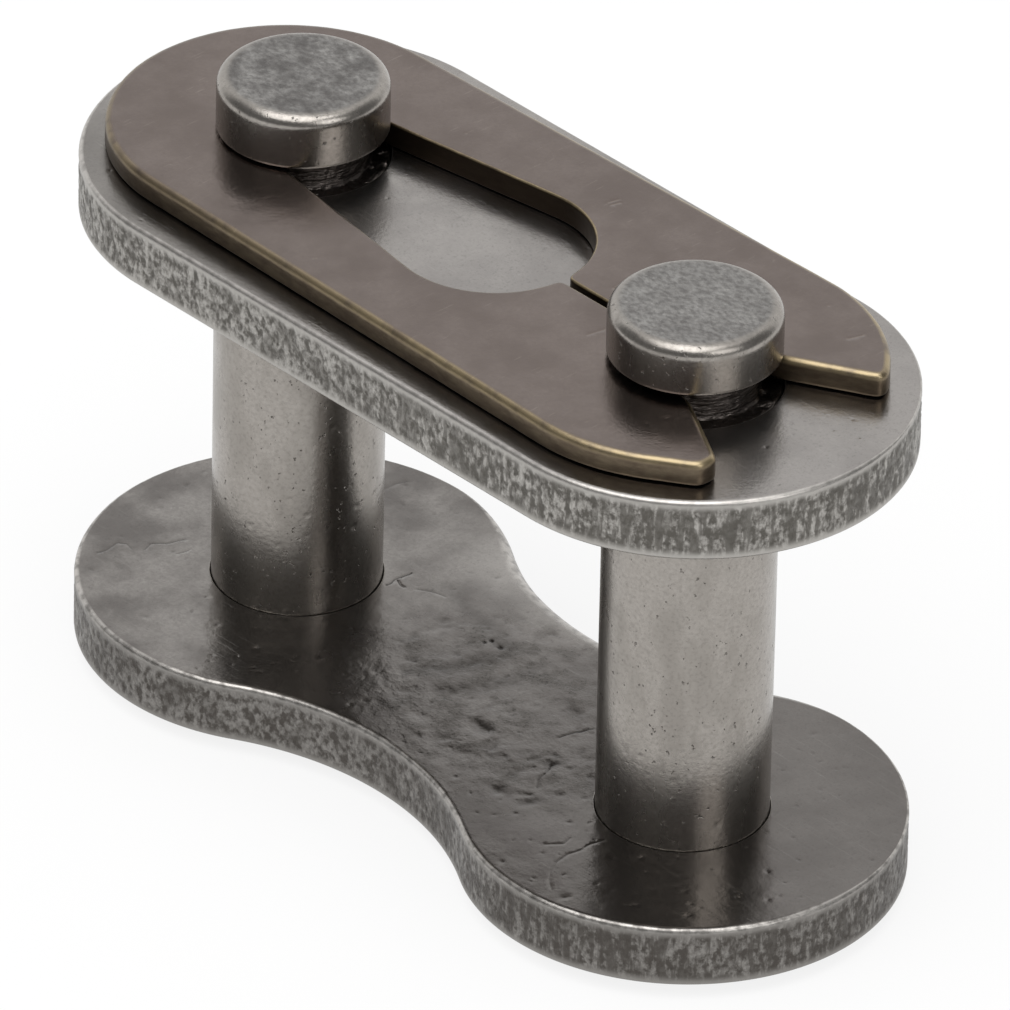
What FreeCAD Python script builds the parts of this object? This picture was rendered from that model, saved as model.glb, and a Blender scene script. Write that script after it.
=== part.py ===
"""Chain connecting link: two plates, two grooved pins and a spring clip that locks them.

The pins stand riveted in the waisted base plate. The cover plate slips over their free ends and the
clip slides into their grooves. Row frame: millimetres, +Z up along the pins, z = 0 at the riveted
ends, the origin midway between the pins, +X from the clip's closed end to its open end.
"""

import FreeCAD, Part
import math
import os

import Sketcher

V = FreeCAD.Vector

# Driving dimensions, in millimetres and degrees
SIZES = {
    # both plates and both pins
    "pitch": 12.70,
    "plate_gap": 9.65,
    "plate_edge_break": 0.15,
    # base plate
    "base_thickness": 1.50,
    "base_end_radius": 5.05,
    "waist_half_width": 3.30,
    # cover plate
    "cover_thickness": 1.50,
    "cover_end_radius": 5.00,
    "cover_clearance": 0.05,
    # pins
    "pin_radius": 1.95,
    "groove_radius": 1.50,
    "groove_below_cover": 0.10,
    "groove_play": 0.14,
    "head_height": 1.23,
    "head_round": 0.22,
    # riveted ends under the base plate
    "rivet_height": 0.35,
    "rivet_radius": 2.15,
    "rivet_flat_radius": 1.55,
    # spring clip
    "clip_thickness": 0.60,
    "clip_gap": 0.03,
    "clip_edge_break": 0.10,
    "clip_corner_round": 0.13,
    "closed_end_radius": 4.10,
    "closed_end_reach": 0.48,
    "open_end_radius": 4.42,
    "open_end_setback": 0.18,
    "tip_reach": 3.32,
    "near_tip_spread": 0.27,
    "notch_clearance": 0.05,
    "neck_half_width": 1.45,
    "window_radius": 2.27,
    "window_travel": 6.23,
    "slit_width": 0.18,
    "throat_half_width": 1.30,
    "throat_reach": 1.25,
    "flare_angle": 29.0,
}

# Heights in the row frame, as formulas on the sheet
BASE_BOTTOM = "sizes.rivet_height"
BASE_TOP = BASE_BOTTOM + " + sizes.base_thickness"
COVER_BOTTOM = BASE_TOP + " + sizes.plate_gap"
COVER_TOP = COVER_BOTTOM + " + sizes.cover_thickness"
CLIP_BOTTOM = COVER_TOP + " + sizes.clip_gap"
GROOVE_BOTTOM = COVER_TOP + " - sizes.groove_below_cover"
GROOVE_TOP = CLIP_BOTTOM + " + sizes.clip_thickness + sizes.groove_play"
PIN_TOP = GROOVE_TOP + " + sizes.head_height"

# The arc that joins the plate's two round ends is tangent to both and leaves the waist between them
WAIST_RADIUS = (
    "((sizes.pitch / 2) ^ 2 + sizes.waist_half_width ^ 2 - sizes.base_end_radius ^ 2)"
    " / (2 * (sizes.base_end_radius - sizes.waist_half_width))"
)
# The rivet's rounded edge is tangent to its flat end and meets the plate at the rivet's full radius
RIVET_ROUND = (
    "((sizes.rivet_radius - sizes.rivet_flat_radius) ^ 2 + sizes.rivet_height ^ 2)"
    " / (2 * sizes.rivet_height)"
)
# Where the open end's arc reaches the line on which both tips are cut off
FAR_TIP_Y = "sqrt(sizes.open_end_radius ^ 2 - (sizes.tip_reach + sizes.open_end_setback) ^ 2)"

START, END, CENTRE = 1, 2, 3
X_AXIS = -1
ORIGIN = (X_AXIS, START)
EPSILON = 1e-4


def make_sheet(doc):
    """Spreadsheet with one aliased cell for each driving dimension."""
    sheet = doc.addObject("Spreadsheet::Sheet", "sizes")
    for row, (alias, value) in enumerate(SIZES.items(), start=1):
        sheet.set(f"A{row}", alias)
        sheet.set(f"B{row}", str(value))
        sheet.setAlias(f"B{row}", alias)
    doc.recompute()
    return sheet


def new_body(doc, label, x="0 mm", z="0 mm"):
    """Body whose place in the row frame follows the sheet."""
    body = doc.addObject("PartDesign::Body", label)
    body.Label = label
    body.setExpression("Placement.Base.x", x)
    body.setExpression("Placement.Base.z", z)
    return body


def new_sketch(body, name, plane_role="XY_Plane"):
    """Sketch on one of the body's own origin planes."""
    sketch = body.newObject("Sketcher::SketchObject", name)
    plane = next(f for f in body.Origin.OriginFeatures if f.Role == plane_role)
    sketch.AttachmentSupport = (plane, [""])
    sketch.MapMode = "FlatFace"
    return sketch


def arc(x, y, radius, start, end):
    """Arc of a circle, anticlockwise between two angles in radians."""
    return Part.ArcOfCircle(Part.Circle(V(x, y, 0), V(0, 0, 1), radius), start, end)


def line(x0, y0, x1, y1):
    """Straight edge between two points of a sketch."""
    return Part.LineSegment(V(x0, y0, 0), V(x1, y1, 0))


def rule(sketch, kind, *terms):
    """Geometric constraint of a sketch."""
    sketch.addConstraint(Sketcher.Constraint(kind, *terms))


def drive(sketch, name, formula, kind, *terms):
    """Dimension of a sketch that follows a formula on the sheet."""
    index = sketch.addConstraint(Sketcher.Constraint(kind, *terms, sketch.evalExpression(formula)))
    sketch.renameConstraint(index, name)
    sketch.setExpression("Constraints." + name, formula)


def pad(body, sketch, name, formula):
    """Solid raised from a sketch to the height that the formula gives."""
    feature = body.newObject("PartDesign::Pad", name)
    feature.Profile = sketch
    feature.setExpression("Length", formula)
    sketch.Document.recompute()
    return feature


def cut_through(body, sketch, name):
    """Pocket through the whole piece, upwards from its underside."""
    before = body.Shape.Volume
    feature = body.newObject("PartDesign::Pocket", name)
    feature.Profile = sketch
    feature.Type = "ThroughAll"
    feature.Reversed = True
    sketch.Document.recompute()
    if not body.Shape.Volume < before - EPSILON:
        raise RuntimeError(f"{name} of {body.Label} cuts nothing")
    return feature


def dress_edges(body, kind, name, formula, wanted):
    """Fillet or chamfer on each edge of the body's last feature that the test wants."""
    base = body.Tip
    edges = [f"Edge{i}" for i, edge in enumerate(base.Shape.Edges, start=1) if wanted(edge)]
    if not edges:
        raise RuntimeError(f"{name} of {body.Label} finds no edge")
    feature = body.newObject("PartDesign::" + kind, name)
    feature.Base = (base, edges)
    feature.setExpression("Radius" if kind == "Fillet" else "Size", formula)
    body.Document.recompute()
    return feature


def is_level(edge):
    """Whether the edge lies in one horizontal plane."""
    return edge.BoundBox.ZLength < EPSILON


def is_upright(edge):
    """Whether the edge is one straight line along Z."""
    box = edge.BoundBox
    return box.ZLength > EPSILON and box.DiagonalLength - box.ZLength < EPSILON


def end_centres(sketch, right, left):
    """Put the centres of a plate's two end arcs one pitch apart, either side of the origin."""
    rule(sketch, "PointOnObject", right, CENTRE, X_AXIS)
    rule(sketch, "Symmetric", right, CENTRE, left, CENTRE, *ORIGIN)
    drive(sketch, "half_pitch", "sizes.pitch / 2", "DistanceX", *ORIGIN, right, CENTRE)


def waisted_outline(sketch):
    """Two round ends joined by two arcs that curve inwards to the waist."""
    half_pitch = SIZES["pitch"] / 2
    radius = SIZES["base_end_radius"]
    waist = SIZES["waist_half_width"]
    waist_radius = (half_pitch**2 + waist**2 - radius**2) / (2 * (radius - waist))
    rise = waist + waist_radius
    lean = math.atan2(rise, half_pitch)
    right, upper, left, lower = range(4)
    sketch.addGeometry(arc(half_pitch, 0, radius, lean - math.pi, math.pi - lean))
    sketch.addGeometry(arc(0, rise, waist_radius, lean - math.pi, -lean))
    sketch.addGeometry(arc(-half_pitch, 0, radius, lean, 2 * math.pi - lean))
    sketch.addGeometry(arc(0, -rise, waist_radius, lean, math.pi - lean))
    rule(sketch, "Tangent", right, END, upper, END)
    rule(sketch, "Tangent", upper, START, left, START)
    rule(sketch, "Tangent", left, END, lower, END)
    rule(sketch, "Tangent", lower, START, right, START)
    end_centres(sketch, right, left)
    rule(sketch, "Equal", right, left)
    rule(sketch, "Equal", upper, lower)
    drive(sketch, "end_radius", "sizes.base_end_radius", "Radius", right)
    drive(sketch, "waist_radius", WAIST_RADIUS, "Radius", upper)


def obround_outline(sketch):
    """Two round ends joined by straight sides."""
    half_pitch = SIZES["pitch"] / 2
    radius = SIZES["cover_end_radius"]
    right, upper, left, lower = range(4)
    sketch.addGeometry(arc(half_pitch, 0, radius, -math.pi / 2, math.pi / 2))
    sketch.addGeometry(line(half_pitch, radius, -half_pitch, radius))
    sketch.addGeometry(arc(-half_pitch, 0, radius, math.pi / 2, 3 * math.pi / 2))
    sketch.addGeometry(line(-half_pitch, -radius, half_pitch, -radius))
    rule(sketch, "Tangent", right, END, upper, START)
    rule(sketch, "Tangent", upper, END, left, START)
    rule(sketch, "Tangent", left, END, lower, START)
    rule(sketch, "Tangent", lower, END, right, START)
    end_centres(sketch, right, left)
    rule(sketch, "Equal", right, left)
    drive(sketch, "end_radius", "sizes.cover_end_radius", "Radius", right)


def make_plate(doc, label, z, thickness, draw_outline, bore_radius):
    """Stamped plate with a bore at each pin and its outer edges broken."""
    body = new_body(doc, label, z=z)
    outline = new_sketch(body, label + "_outline")
    draw_outline(outline)
    pad(body, outline, label + "_blank", thickness)
    bores = new_sketch(body, label + "_bores")
    start_radius = SIZES["pin_radius"]
    for side in (1, -1):
        bores.addGeometry(Part.Circle(V(side * SIZES["pitch"] / 2, 0, 0), V(0, 0, 1), start_radius))
    end_centres(bores, 0, 1)
    rule(bores, "Equal", 0, 1)
    drive(bores, "bore_radius", bore_radius, "Radius", 0)
    cut_through(body, bores, label + "_bore_pair")
    # the bores' own edges stay sharp: they are the only level edges that turn a full circle
    dress_edges(
        body,
        "Chamfer",
        label + "_edge_break",
        "sizes.plate_edge_break",
        lambda edge: is_level(edge) and not edge.isClosed(),
    )
    return body


def make_pin(doc, label, side):
    """Turned pin: riveted end, plain shank, clip groove and rounded head, as one revolved profile."""
    body = new_body(doc, label, x=f"{side} * sizes.pitch / 2")
    profile = new_sketch(body, label + "_profile", "XZ_Plane")
    size = SIZES
    base_bottom = size["rivet_height"]
    cover_top = base_bottom + size["base_thickness"] + size["plate_gap"] + size["cover_thickness"]
    groove_bottom = cover_top - size["groove_below_cover"]
    groove_top = cover_top + size["clip_gap"] + size["clip_thickness"] + size["groove_play"]
    pin_top = groove_top + size["head_height"]
    flat, full = size["rivet_flat_radius"], size["rivet_radius"]
    rivet_round = ((full - flat) ** 2 + base_bottom**2) / (2 * base_bottom)
    shank, neck, head_round = size["pin_radius"], size["groove_radius"], size["head_round"]
    end_angle = math.atan2(base_bottom - rivet_round, full - flat)

    (axis, flat_end, rivet_edge, shoulder, shank_side, ledge, groove_side, head_seat, head_side, head_edge,
     head_top) = range(11)
    profile.addGeometry(line(0, pin_top, 0, 0))
    profile.addGeometry(line(0, 0, flat, 0))
    profile.addGeometry(arc(flat, rivet_round, rivet_round, -math.pi / 2, end_angle))
    profile.addGeometry(line(full, base_bottom, shank, base_bottom))
    profile.addGeometry(line(shank, base_bottom, shank, groove_bottom))
    profile.addGeometry(line(shank, groove_bottom, neck, groove_bottom))
    profile.addGeometry(line(neck, groove_bottom, neck, groove_top))
    profile.addGeometry(line(neck, groove_top, shank, groove_top))
    profile.addGeometry(line(shank, groove_top, shank, pin_top - head_round))
    profile.addGeometry(arc(shank - head_round, pin_top - head_round, head_round, 0, math.pi / 2))
    profile.addGeometry(line(shank - head_round, pin_top, 0, pin_top))

    rule(profile, "Coincident", axis, END, *ORIGIN)
    rule(profile, "Vertical", axis)
    rule(profile, "Coincident", axis, END, flat_end, START)
    rule(profile, "Horizontal", flat_end)
    rule(profile, "Tangent", flat_end, END, rivet_edge, START)
    rule(profile, "Coincident", rivet_edge, END, shoulder, START)
    for lower, upper in ((shoulder, shank_side), (shank_side, ledge), (ledge, groove_side),
                         (groove_side, head_seat), (head_seat, head_side)):
        rule(profile, "Coincident", lower, END, upper, START)
    rule(profile, "Tangent", head_side, END, head_edge, START)
    rule(profile, "Tangent", head_edge, END, head_top, START)
    rule(profile, "Coincident", head_top, END, axis, START)
    for level in (shoulder, ledge, head_seat, head_top):
        rule(profile, "Horizontal", level)
    for upright in (shank_side, groove_side, head_side):
        rule(profile, "Vertical", upright)
    drive(profile, "rivet_flat", "sizes.rivet_flat_radius", "DistanceX", *ORIGIN, flat_end, END)
    drive(profile, "rivet_round", RIVET_ROUND, "Radius", rivet_edge)
    drive(profile, "plate_underside", BASE_BOTTOM, "DistanceY", *ORIGIN, shoulder, START)
    drive(profile, "shank_radius", "sizes.pin_radius", "DistanceX", *ORIGIN, shank_side, START)
    drive(profile, "groove_bottom", GROOVE_BOTTOM, "DistanceY", *ORIGIN, ledge, START)
    drive(profile, "groove_radius", "sizes.groove_radius", "DistanceX", *ORIGIN, groove_side, START)
    drive(profile, "groove_top", GROOVE_TOP, "DistanceY", *ORIGIN, groove_side, END)
    drive(profile, "head_radius", "sizes.pin_radius", "DistanceX", *ORIGIN, head_side, START)
    drive(profile, "pin_top", PIN_TOP, "DistanceY", *ORIGIN, head_top, END)
    drive(profile, "head_round", "sizes.head_round", "Radius", head_edge)

    turned = body.newObject("PartDesign::Revolution", label + "_turned")
    turned.Profile = profile
    turned.ReferenceAxis = (profile, ["V_Axis"])
    turned.Angle = 360
    doc.recompute()
    return body


def clip_outline(sketch):
    """Tapered blank of the clip: closed end, widening sides and an open end cut square at the tips.

    The near side's arc runs straight into its tip, which leaves that tip the wider one.
    """
    size = SIZES
    half_pitch = size["pitch"] / 2
    closed_x = -half_pitch - size["closed_end_reach"]
    open_x = half_pitch - size["open_end_setback"]
    closed_radius, open_radius = size["closed_end_radius"], size["open_end_radius"]
    tip_x = half_pitch + size["tip_reach"]
    lean = math.acos((closed_radius - open_radius) / (open_x - closed_x))
    tip_angle = math.acos((tip_x - open_x) / open_radius)
    far_tip_y = open_radius * math.sin(tip_angle)
    near_tip_y = far_tip_y + size["near_tip_spread"]
    near_reach = math.hypot(tip_x - open_x, near_tip_y)
    leave_angle = math.atan2(near_tip_y, tip_x - open_x) + math.acos(open_radius / near_reach)
    leave_x = open_x + open_radius * math.cos(leave_angle)
    leave_y = open_radius * math.sin(leave_angle)
    cos_lean, sin_lean = math.cos(lean), math.sin(lean)
    closed_edge = (closed_x + closed_radius * cos_lean, closed_radius * sin_lean)
    open_edge = (open_x + open_radius * cos_lean, open_radius * sin_lean)

    closed_end, near_side, near_bend, near_tip, tips, far_bend, far_side = range(7)
    sketch.addGeometry(arc(closed_x, 0, closed_radius, lean, 2 * math.pi - lean))
    sketch.addGeometry(line(closed_edge[0], -closed_edge[1], open_edge[0], -open_edge[1]))
    sketch.addGeometry(arc(open_x, 0, open_radius, -lean, -leave_angle))
    sketch.addGeometry(line(leave_x, -leave_y, tip_x, -near_tip_y))
    sketch.addGeometry(line(tip_x, -near_tip_y, tip_x, far_tip_y))
    sketch.addGeometry(arc(open_x, 0, open_radius, tip_angle, lean))
    sketch.addGeometry(line(*open_edge, *closed_edge))
    rule(sketch, "Tangent", closed_end, END, near_side, START)
    rule(sketch, "Tangent", near_side, END, near_bend, START)
    rule(sketch, "Tangent", near_bend, END, near_tip, START)
    rule(sketch, "Coincident", near_tip, END, tips, START)
    rule(sketch, "Coincident", tips, END, far_bend, START)
    rule(sketch, "Tangent", far_bend, END, far_side, START)
    rule(sketch, "Tangent", far_side, END, closed_end, START)
    rule(sketch, "PointOnObject", closed_end, CENTRE, X_AXIS)
    rule(sketch, "PointOnObject", near_bend, CENTRE, X_AXIS)
    rule(sketch, "Coincident", near_bend, CENTRE, far_bend, CENTRE)
    rule(sketch, "Equal", near_bend, far_bend)
    rule(sketch, "Vertical", tips)
    drive(sketch, "closed_end_radius", "sizes.closed_end_radius", "Radius", closed_end)
    drive(sketch, "open_end_radius", "sizes.open_end_radius", "Radius", near_bend)
    drive(sketch, "closed_end_x", "sizes.pitch / 2 + sizes.closed_end_reach",
          "DistanceX", closed_end, CENTRE, *ORIGIN)
    drive(sketch, "open_end_x", "sizes.pitch / 2 - sizes.open_end_setback",
          "DistanceX", *ORIGIN, near_bend, CENTRE)
    drive(sketch, "tip_x", "sizes.pitch / 2 + sizes.tip_reach", "DistanceX", *ORIGIN, tips, START)
    drive(sketch, "near_tip_y", FAR_TIP_Y + " + sizes.near_tip_spread", "DistanceY", tips, START, *ORIGIN)


def clip_window(sketch):
    """Keyhole window: a circle that clears a pin's head, narrowing to the notch round one groove."""
    size = SIZES
    half_pitch = size["pitch"] / 2
    notch = size["groove_radius"] + size["notch_clearance"]
    neck = size["neck_half_width"]
    window = size["window_radius"]
    window_x = -half_pitch + size["window_travel"]
    notch_angle = math.asin(neck / notch)
    neck_x = -half_pitch + notch * math.cos(notch_angle)
    run = window_x - neck_x
    reach = math.hypot(run, neck)
    lean = math.pi - math.atan2(neck, run) - math.acos(window / reach)
    touch_x = window_x + window * math.cos(lean)
    touch_y = window * math.sin(lean)

    window_arc, far_side, notch_arc, near_side = range(4)
    sketch.addGeometry(arc(window_x, 0, window, -lean, lean))
    sketch.addGeometry(line(touch_x, touch_y, neck_x, neck))
    sketch.addGeometry(arc(-half_pitch, 0, notch, notch_angle, 2 * math.pi - notch_angle))
    sketch.addGeometry(line(neck_x, -neck, touch_x, -touch_y))
    rule(sketch, "Tangent", window_arc, END, far_side, START)
    rule(sketch, "Coincident", far_side, END, notch_arc, START)
    rule(sketch, "Coincident", notch_arc, END, near_side, START)
    rule(sketch, "Tangent", near_side, END, window_arc, START)
    rule(sketch, "PointOnObject", window_arc, CENTRE, X_AXIS)
    rule(sketch, "PointOnObject", notch_arc, CENTRE, X_AXIS)
    rule(sketch, "Vertical", notch_arc, START, notch_arc, END)
    drive(sketch, "window_radius", "sizes.window_radius", "Radius", window_arc)
    drive(sketch, "notch_radius", "sizes.groove_radius + sizes.notch_clearance", "Radius", notch_arc)
    drive(sketch, "notch_x", "sizes.pitch / 2", "DistanceX", notch_arc, CENTRE, *ORIGIN)
    drive(sketch, "travel", "sizes.window_travel", "DistanceX", notch_arc, CENTRE, window_arc, CENTRE)
    drive(sketch, "neck_width", "2 * sizes.neck_half_width", "DistanceY", notch_arc, END, notch_arc, START)


def clip_mouth(sketch):
    """Notch round the other groove, with a throat narrower than the groove and a flared mouth."""
    size = SIZES
    half_pitch = size["pitch"] / 2
    notch = size["groove_radius"] + size["notch_clearance"]
    throat = size["throat_half_width"]
    throat_angle = math.asin(throat / notch)
    notch_x = half_pitch + notch * math.cos(throat_angle)
    throat_x = half_pitch + size["throat_reach"]
    outer_x = half_pitch + size["tip_reach"] + size["clip_thickness"]
    outer_y = throat + (outer_x - throat_x) * math.tan(math.radians(size["flare_angle"]))

    notch_arc, near_throat, near_flare, outside, far_flare, far_throat = range(6)
    sketch.addGeometry(arc(half_pitch, 0, notch, throat_angle, 2 * math.pi - throat_angle))
    sketch.addGeometry(line(notch_x, -throat, throat_x, -throat))
    sketch.addGeometry(line(throat_x, -throat, outer_x, -outer_y))
    sketch.addGeometry(line(outer_x, -outer_y, outer_x, outer_y))
    sketch.addGeometry(line(outer_x, outer_y, throat_x, throat))
    sketch.addGeometry(line(throat_x, throat, notch_x, throat))
    rule(sketch, "Coincident", notch_arc, END, near_throat, START)
    rule(sketch, "Coincident", near_throat, END, near_flare, START)
    rule(sketch, "Coincident", near_flare, END, outside, START)
    rule(sketch, "Coincident", outside, END, far_flare, START)
    rule(sketch, "Coincident", far_flare, END, far_throat, START)
    rule(sketch, "Coincident", far_throat, END, notch_arc, START)
    rule(sketch, "PointOnObject", notch_arc, CENTRE, X_AXIS)
    rule(sketch, "Symmetric", near_throat, END, far_throat, START, X_AXIS)
    rule(sketch, "Symmetric", outside, START, outside, END, X_AXIS)
    rule(sketch, "Horizontal", near_throat)
    rule(sketch, "Horizontal", far_throat)
    drive(sketch, "notch_radius", "sizes.groove_radius + sizes.notch_clearance", "Radius", notch_arc)
    drive(sketch, "notch_x", "sizes.pitch / 2", "DistanceX", *ORIGIN, notch_arc, CENTRE)
    drive(sketch, "throat_width", "2 * sizes.throat_half_width",
          "DistanceY", near_throat, END, far_throat, START)
    drive(sketch, "throat_x", "sizes.pitch / 2 + sizes.throat_reach", "DistanceX", *ORIGIN, near_throat, END)
    drive(sketch, "outer_x", "sizes.pitch / 2 + sizes.tip_reach + sizes.clip_thickness",
          "DistanceX", *ORIGIN, outside, START)
    drive(sketch, "flare", "sizes.flare_angle * 1 deg", "Angle", far_throat, END, far_flare, END)


def clip_slit(sketch):
    """Slit that parts the legs between the window and the open notch, so that they can spread."""
    size = SIZES
    left = -size["pitch"] / 2 + size["window_travel"]
    right = size["pitch"] / 2
    half = size["slit_width"] / 2
    near, end, far, start = range(4)
    sketch.addGeometry(line(left, -half, right, -half))
    sketch.addGeometry(line(right, -half, right, half))
    sketch.addGeometry(line(right, half, left, half))
    sketch.addGeometry(line(left, half, left, -half))
    for first, second in ((near, end), (end, far), (far, start), (start, near)):
        rule(sketch, "Coincident", first, END, second, START)
    rule(sketch, "Symmetric", near, START, far, END, X_AXIS)
    rule(sketch, "Symmetric", near, END, far, START, X_AXIS)
    rule(sketch, "Horizontal", near)
    drive(sketch, "slit_width", "sizes.slit_width", "DistanceY", end, START, end, END)
    drive(sketch, "slit_end", "sizes.pitch / 2", "DistanceX", *ORIGIN, near, END)
    drive(sketch, "slit_start", "sizes.pitch / 2 - sizes.window_travel", "DistanceX", near, START, *ORIGIN)


def make_clip(doc):
    """Spring clip stamped from flat strip, with its corners rounded and its edges broken."""
    body = new_body(doc, "spring_clip", z=CLIP_BOTTOM)
    outline = new_sketch(body, "clip_outline")
    clip_outline(outline)
    pad(body, outline, "clip_blank", "sizes.clip_thickness")
    for name, draw in (("clip_window", clip_window), ("clip_mouth", clip_mouth), ("clip_slit", clip_slit)):
        sketch = new_sketch(body, name)
        draw(sketch)
        cut_through(body, sketch, name + "_cut")
    blank = body.Tip.Shape
    legs_start = SIZES["pitch"] / 2
    dress_edges(
        body,
        "Fillet",
        "clip_corner_round",
        "sizes.clip_corner_round",
        lambda edge: is_upright(edge) and edge.CenterOfMass.x > legs_start and is_corner(blank, edge),
    )
    dress_edges(body, "Chamfer", "clip_edge_break", "sizes.clip_edge_break", is_level)
    return body


def is_corner(shape, edge):
    """Whether the two faces that meet at the edge turn a corner there."""
    point = edge.Vertexes[0].Point
    normals = []
    for face in shape.ancestorsOfType(edge, Part.Face):
        u, v = face.Surface.parameter(point)
        normals.append(face.normalAt(u, v))
    return normals[0].getAngle(normals[1]) > math.radians(5)


def check(doc, bodies):
    """Stop if any object of the document failed or any piece isn't one valid solid."""
    doc.recompute()
    for item in doc.Objects:
        if {"Invalid", "Error"} & set(item.State):
            raise RuntimeError(f"{item.Name} failed: {item.State}")
        if item.isDerivedFrom("Sketcher::SketchObject") and not item.FullyConstrained:
            raise RuntimeError(f"{item.Name} isn't fully constrained")
    for body in bodies:
        shape = body.Shape
        if shape.isNull() or not shape.isValid() or len(shape.Solids) != 1:
            raise RuntimeError(f"{body.Label} is not one valid solid")


def main():
    """Build the link and write each piece's STEP file."""
    doc = FreeCAD.newDocument("connecting_link")
    make_sheet(doc)
    bodies = [
        make_plate(doc, "base_plate", BASE_BOTTOM, "sizes.base_thickness", waisted_outline,
                   "sizes.pin_radius"),
        make_pin(doc, "closed_end_pin", -1),
        make_pin(doc, "open_end_pin", 1),
        make_plate(doc, "cover_plate", COVER_BOTTOM, "sizes.cover_thickness", obround_outline,
                   "sizes.pin_radius + sizes.cover_clearance"),
        make_clip(doc),
    ]
    check(doc, bodies)
    os.makedirs("parts", exist_ok=True)
    for body in bodies:
        body.Shape.exportStep(f"parts/{body.Label}.step")
        print(body.Label, f"{body.Shape.Volume:.3f} mm3")


main()
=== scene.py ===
"""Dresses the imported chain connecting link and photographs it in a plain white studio.

Every piece is modelled in millimetres in the link's own frame and stored in metres: +Z runs up along
the pins, +X from the spring clip's closed end to its open end, and the origin lies between the pins.
"""

import logging
import math
from collections.abc import Sequence
from dataclasses import dataclass, field
from enum import Enum

import bpy
import numpy as np
from mathutils import Matrix, Vector
from mathutils.geometry import delaunay_2d_cdt
from mathutils.kdtree import KDTree


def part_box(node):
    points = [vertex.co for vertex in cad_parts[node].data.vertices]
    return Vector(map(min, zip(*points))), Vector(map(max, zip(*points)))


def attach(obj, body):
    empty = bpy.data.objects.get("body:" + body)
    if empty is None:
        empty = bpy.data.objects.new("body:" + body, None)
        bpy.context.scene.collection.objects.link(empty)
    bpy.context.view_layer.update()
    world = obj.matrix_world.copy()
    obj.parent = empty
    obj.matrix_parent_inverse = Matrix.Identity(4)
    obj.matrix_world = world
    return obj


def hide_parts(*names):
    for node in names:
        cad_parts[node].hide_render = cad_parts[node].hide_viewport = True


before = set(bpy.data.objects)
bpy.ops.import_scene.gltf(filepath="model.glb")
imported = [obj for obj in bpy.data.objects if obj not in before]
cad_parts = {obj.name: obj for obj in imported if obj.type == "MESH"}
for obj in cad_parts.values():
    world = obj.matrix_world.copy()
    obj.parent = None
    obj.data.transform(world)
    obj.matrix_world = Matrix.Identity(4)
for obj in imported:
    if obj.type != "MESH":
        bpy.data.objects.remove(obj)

LOG = logging.getLogger("connecting_link")
WHITE = "#FFFFFF"
MM = 0.001
HALF_PITCH = 6.35
# Spacing of the points along an outline
OUTLINE_STEP = 0.05
# Depth at which a mark shows its full stain
FULL_STAIN = 0.03
# Hollows wider than this show in the face's own net of points
WIDE_DENT = 0.25


class Part(Enum):
    """The link's CAD nodes."""

    BASE = "base_plate"
    CLOSED_END_PIN = "closed_end_pin"
    OPEN_END_PIN = "open_end_pin"
    COVER = "cover_plate"
    CLIP = "spring_clip"


class Body(Enum):
    """The link's moving bodies."""

    PIN_PLATE = "pin_plate"
    COVER = "cover"
    CLIP = "clip"


class Slot(Enum):
    """Material slot names of the three steels."""

    PLATE = "plate_steel"
    PIN = "pin_steel"
    CLIP = "clip_steel"


class Zone(Enum):
    """Parts of a surface, named as the mesh attributes that mark them from 0 to 1."""

    WALL = "wall"
    SHEAR = "shear"
    RIM = "rim"
    FACE = "face"
    HAMMERED = "hammered"
    MARK = "mark"
    GROOVE = "groove"
    CROWN = "crown"
    SHANK = "shank"

    def lay(self, shading: "Shading") -> bpy.types.NodeSocket:
        """Read in a material how far the surface belongs to the zone."""
        return add(shading.tree, "ShaderNodeAttribute", attribute_name=self.value).outputs["Fac"]


def heights(part: Part) -> tuple[float, float]:
    """Lowest and highest level of a CAD node.

    Args:
        part: The node to look up.

    Returns:
        Both levels in millimetres.
    """
    low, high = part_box(part.value)
    return low.z / MM, high.z / MM


# Outlines


@dataclass(frozen=True)
class Arc:
    """Part of a circle in the plane of a plate.

    Attributes:
        x: Centre along X.
        y: Centre along Y.
        radius: Radius of the circle.
        start: Angle of the first point, in radians.
        end: Angle of the last point; smaller than start for a clockwise arc.
    """

    x: float
    y: float
    radius: float
    start: float
    end: float

    def trace(self) -> np.ndarray:
        """Points along the arc, close enough together to be smooth."""
        count = max(3, math.ceil(abs(self.end - self.start) * self.radius / (OUTLINE_STEP / 2)))
        angles = np.linspace(self.start, self.end, count)
        centre = np.array([self.x, self.y])
        return centre + self.radius * np.column_stack([np.cos(angles), np.sin(angles)])


def resample(points: np.ndarray, step: float) -> np.ndarray:
    """Space the points of a closed line evenly.

    Args:
        points: Corners of the line, without a repeat of the first.
        step: Wanted spacing.

    Returns:
        New points along the same line.
    """
    closed = np.vstack([points, points[:1]])
    lengths = np.concatenate([[0], np.cumsum(np.linalg.norm(np.diff(closed, axis=0), axis=1))])
    at = np.linspace(0, lengths[-1], round(lengths[-1] / step), endpoint=False)
    return np.column_stack([np.interp(at, lengths, closed[:, k]) for k in range(points.shape[1])])


def soften(values: np.ndarray, reach: float) -> np.ndarray:
    """Blur values along a closed line, which rounds the corners of an outline as tumbling does.

    Args:
        values: One row for each point of the line.
        reach: Standard deviation of the blur, in points.

    Returns:
        The blurred values.
    """
    span = math.ceil(3 * reach)
    shifts = range(-span, span + 1)
    weights = [math.exp(-0.5 * (shift / reach) ** 2) for shift in shifts]
    total = sum(weight * np.roll(values, shift, axis=0) for weight, shift in zip(weights, shifts))
    return total / sum(weights)


def smoothstep(low: float, high: float, values: np.ndarray) -> np.ndarray:
    """Ease values from 0 at low to 1 at high."""
    t = np.clip((values - low) / (high - low), 0, 1)
    return t * t * (3 - 2 * t)


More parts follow.
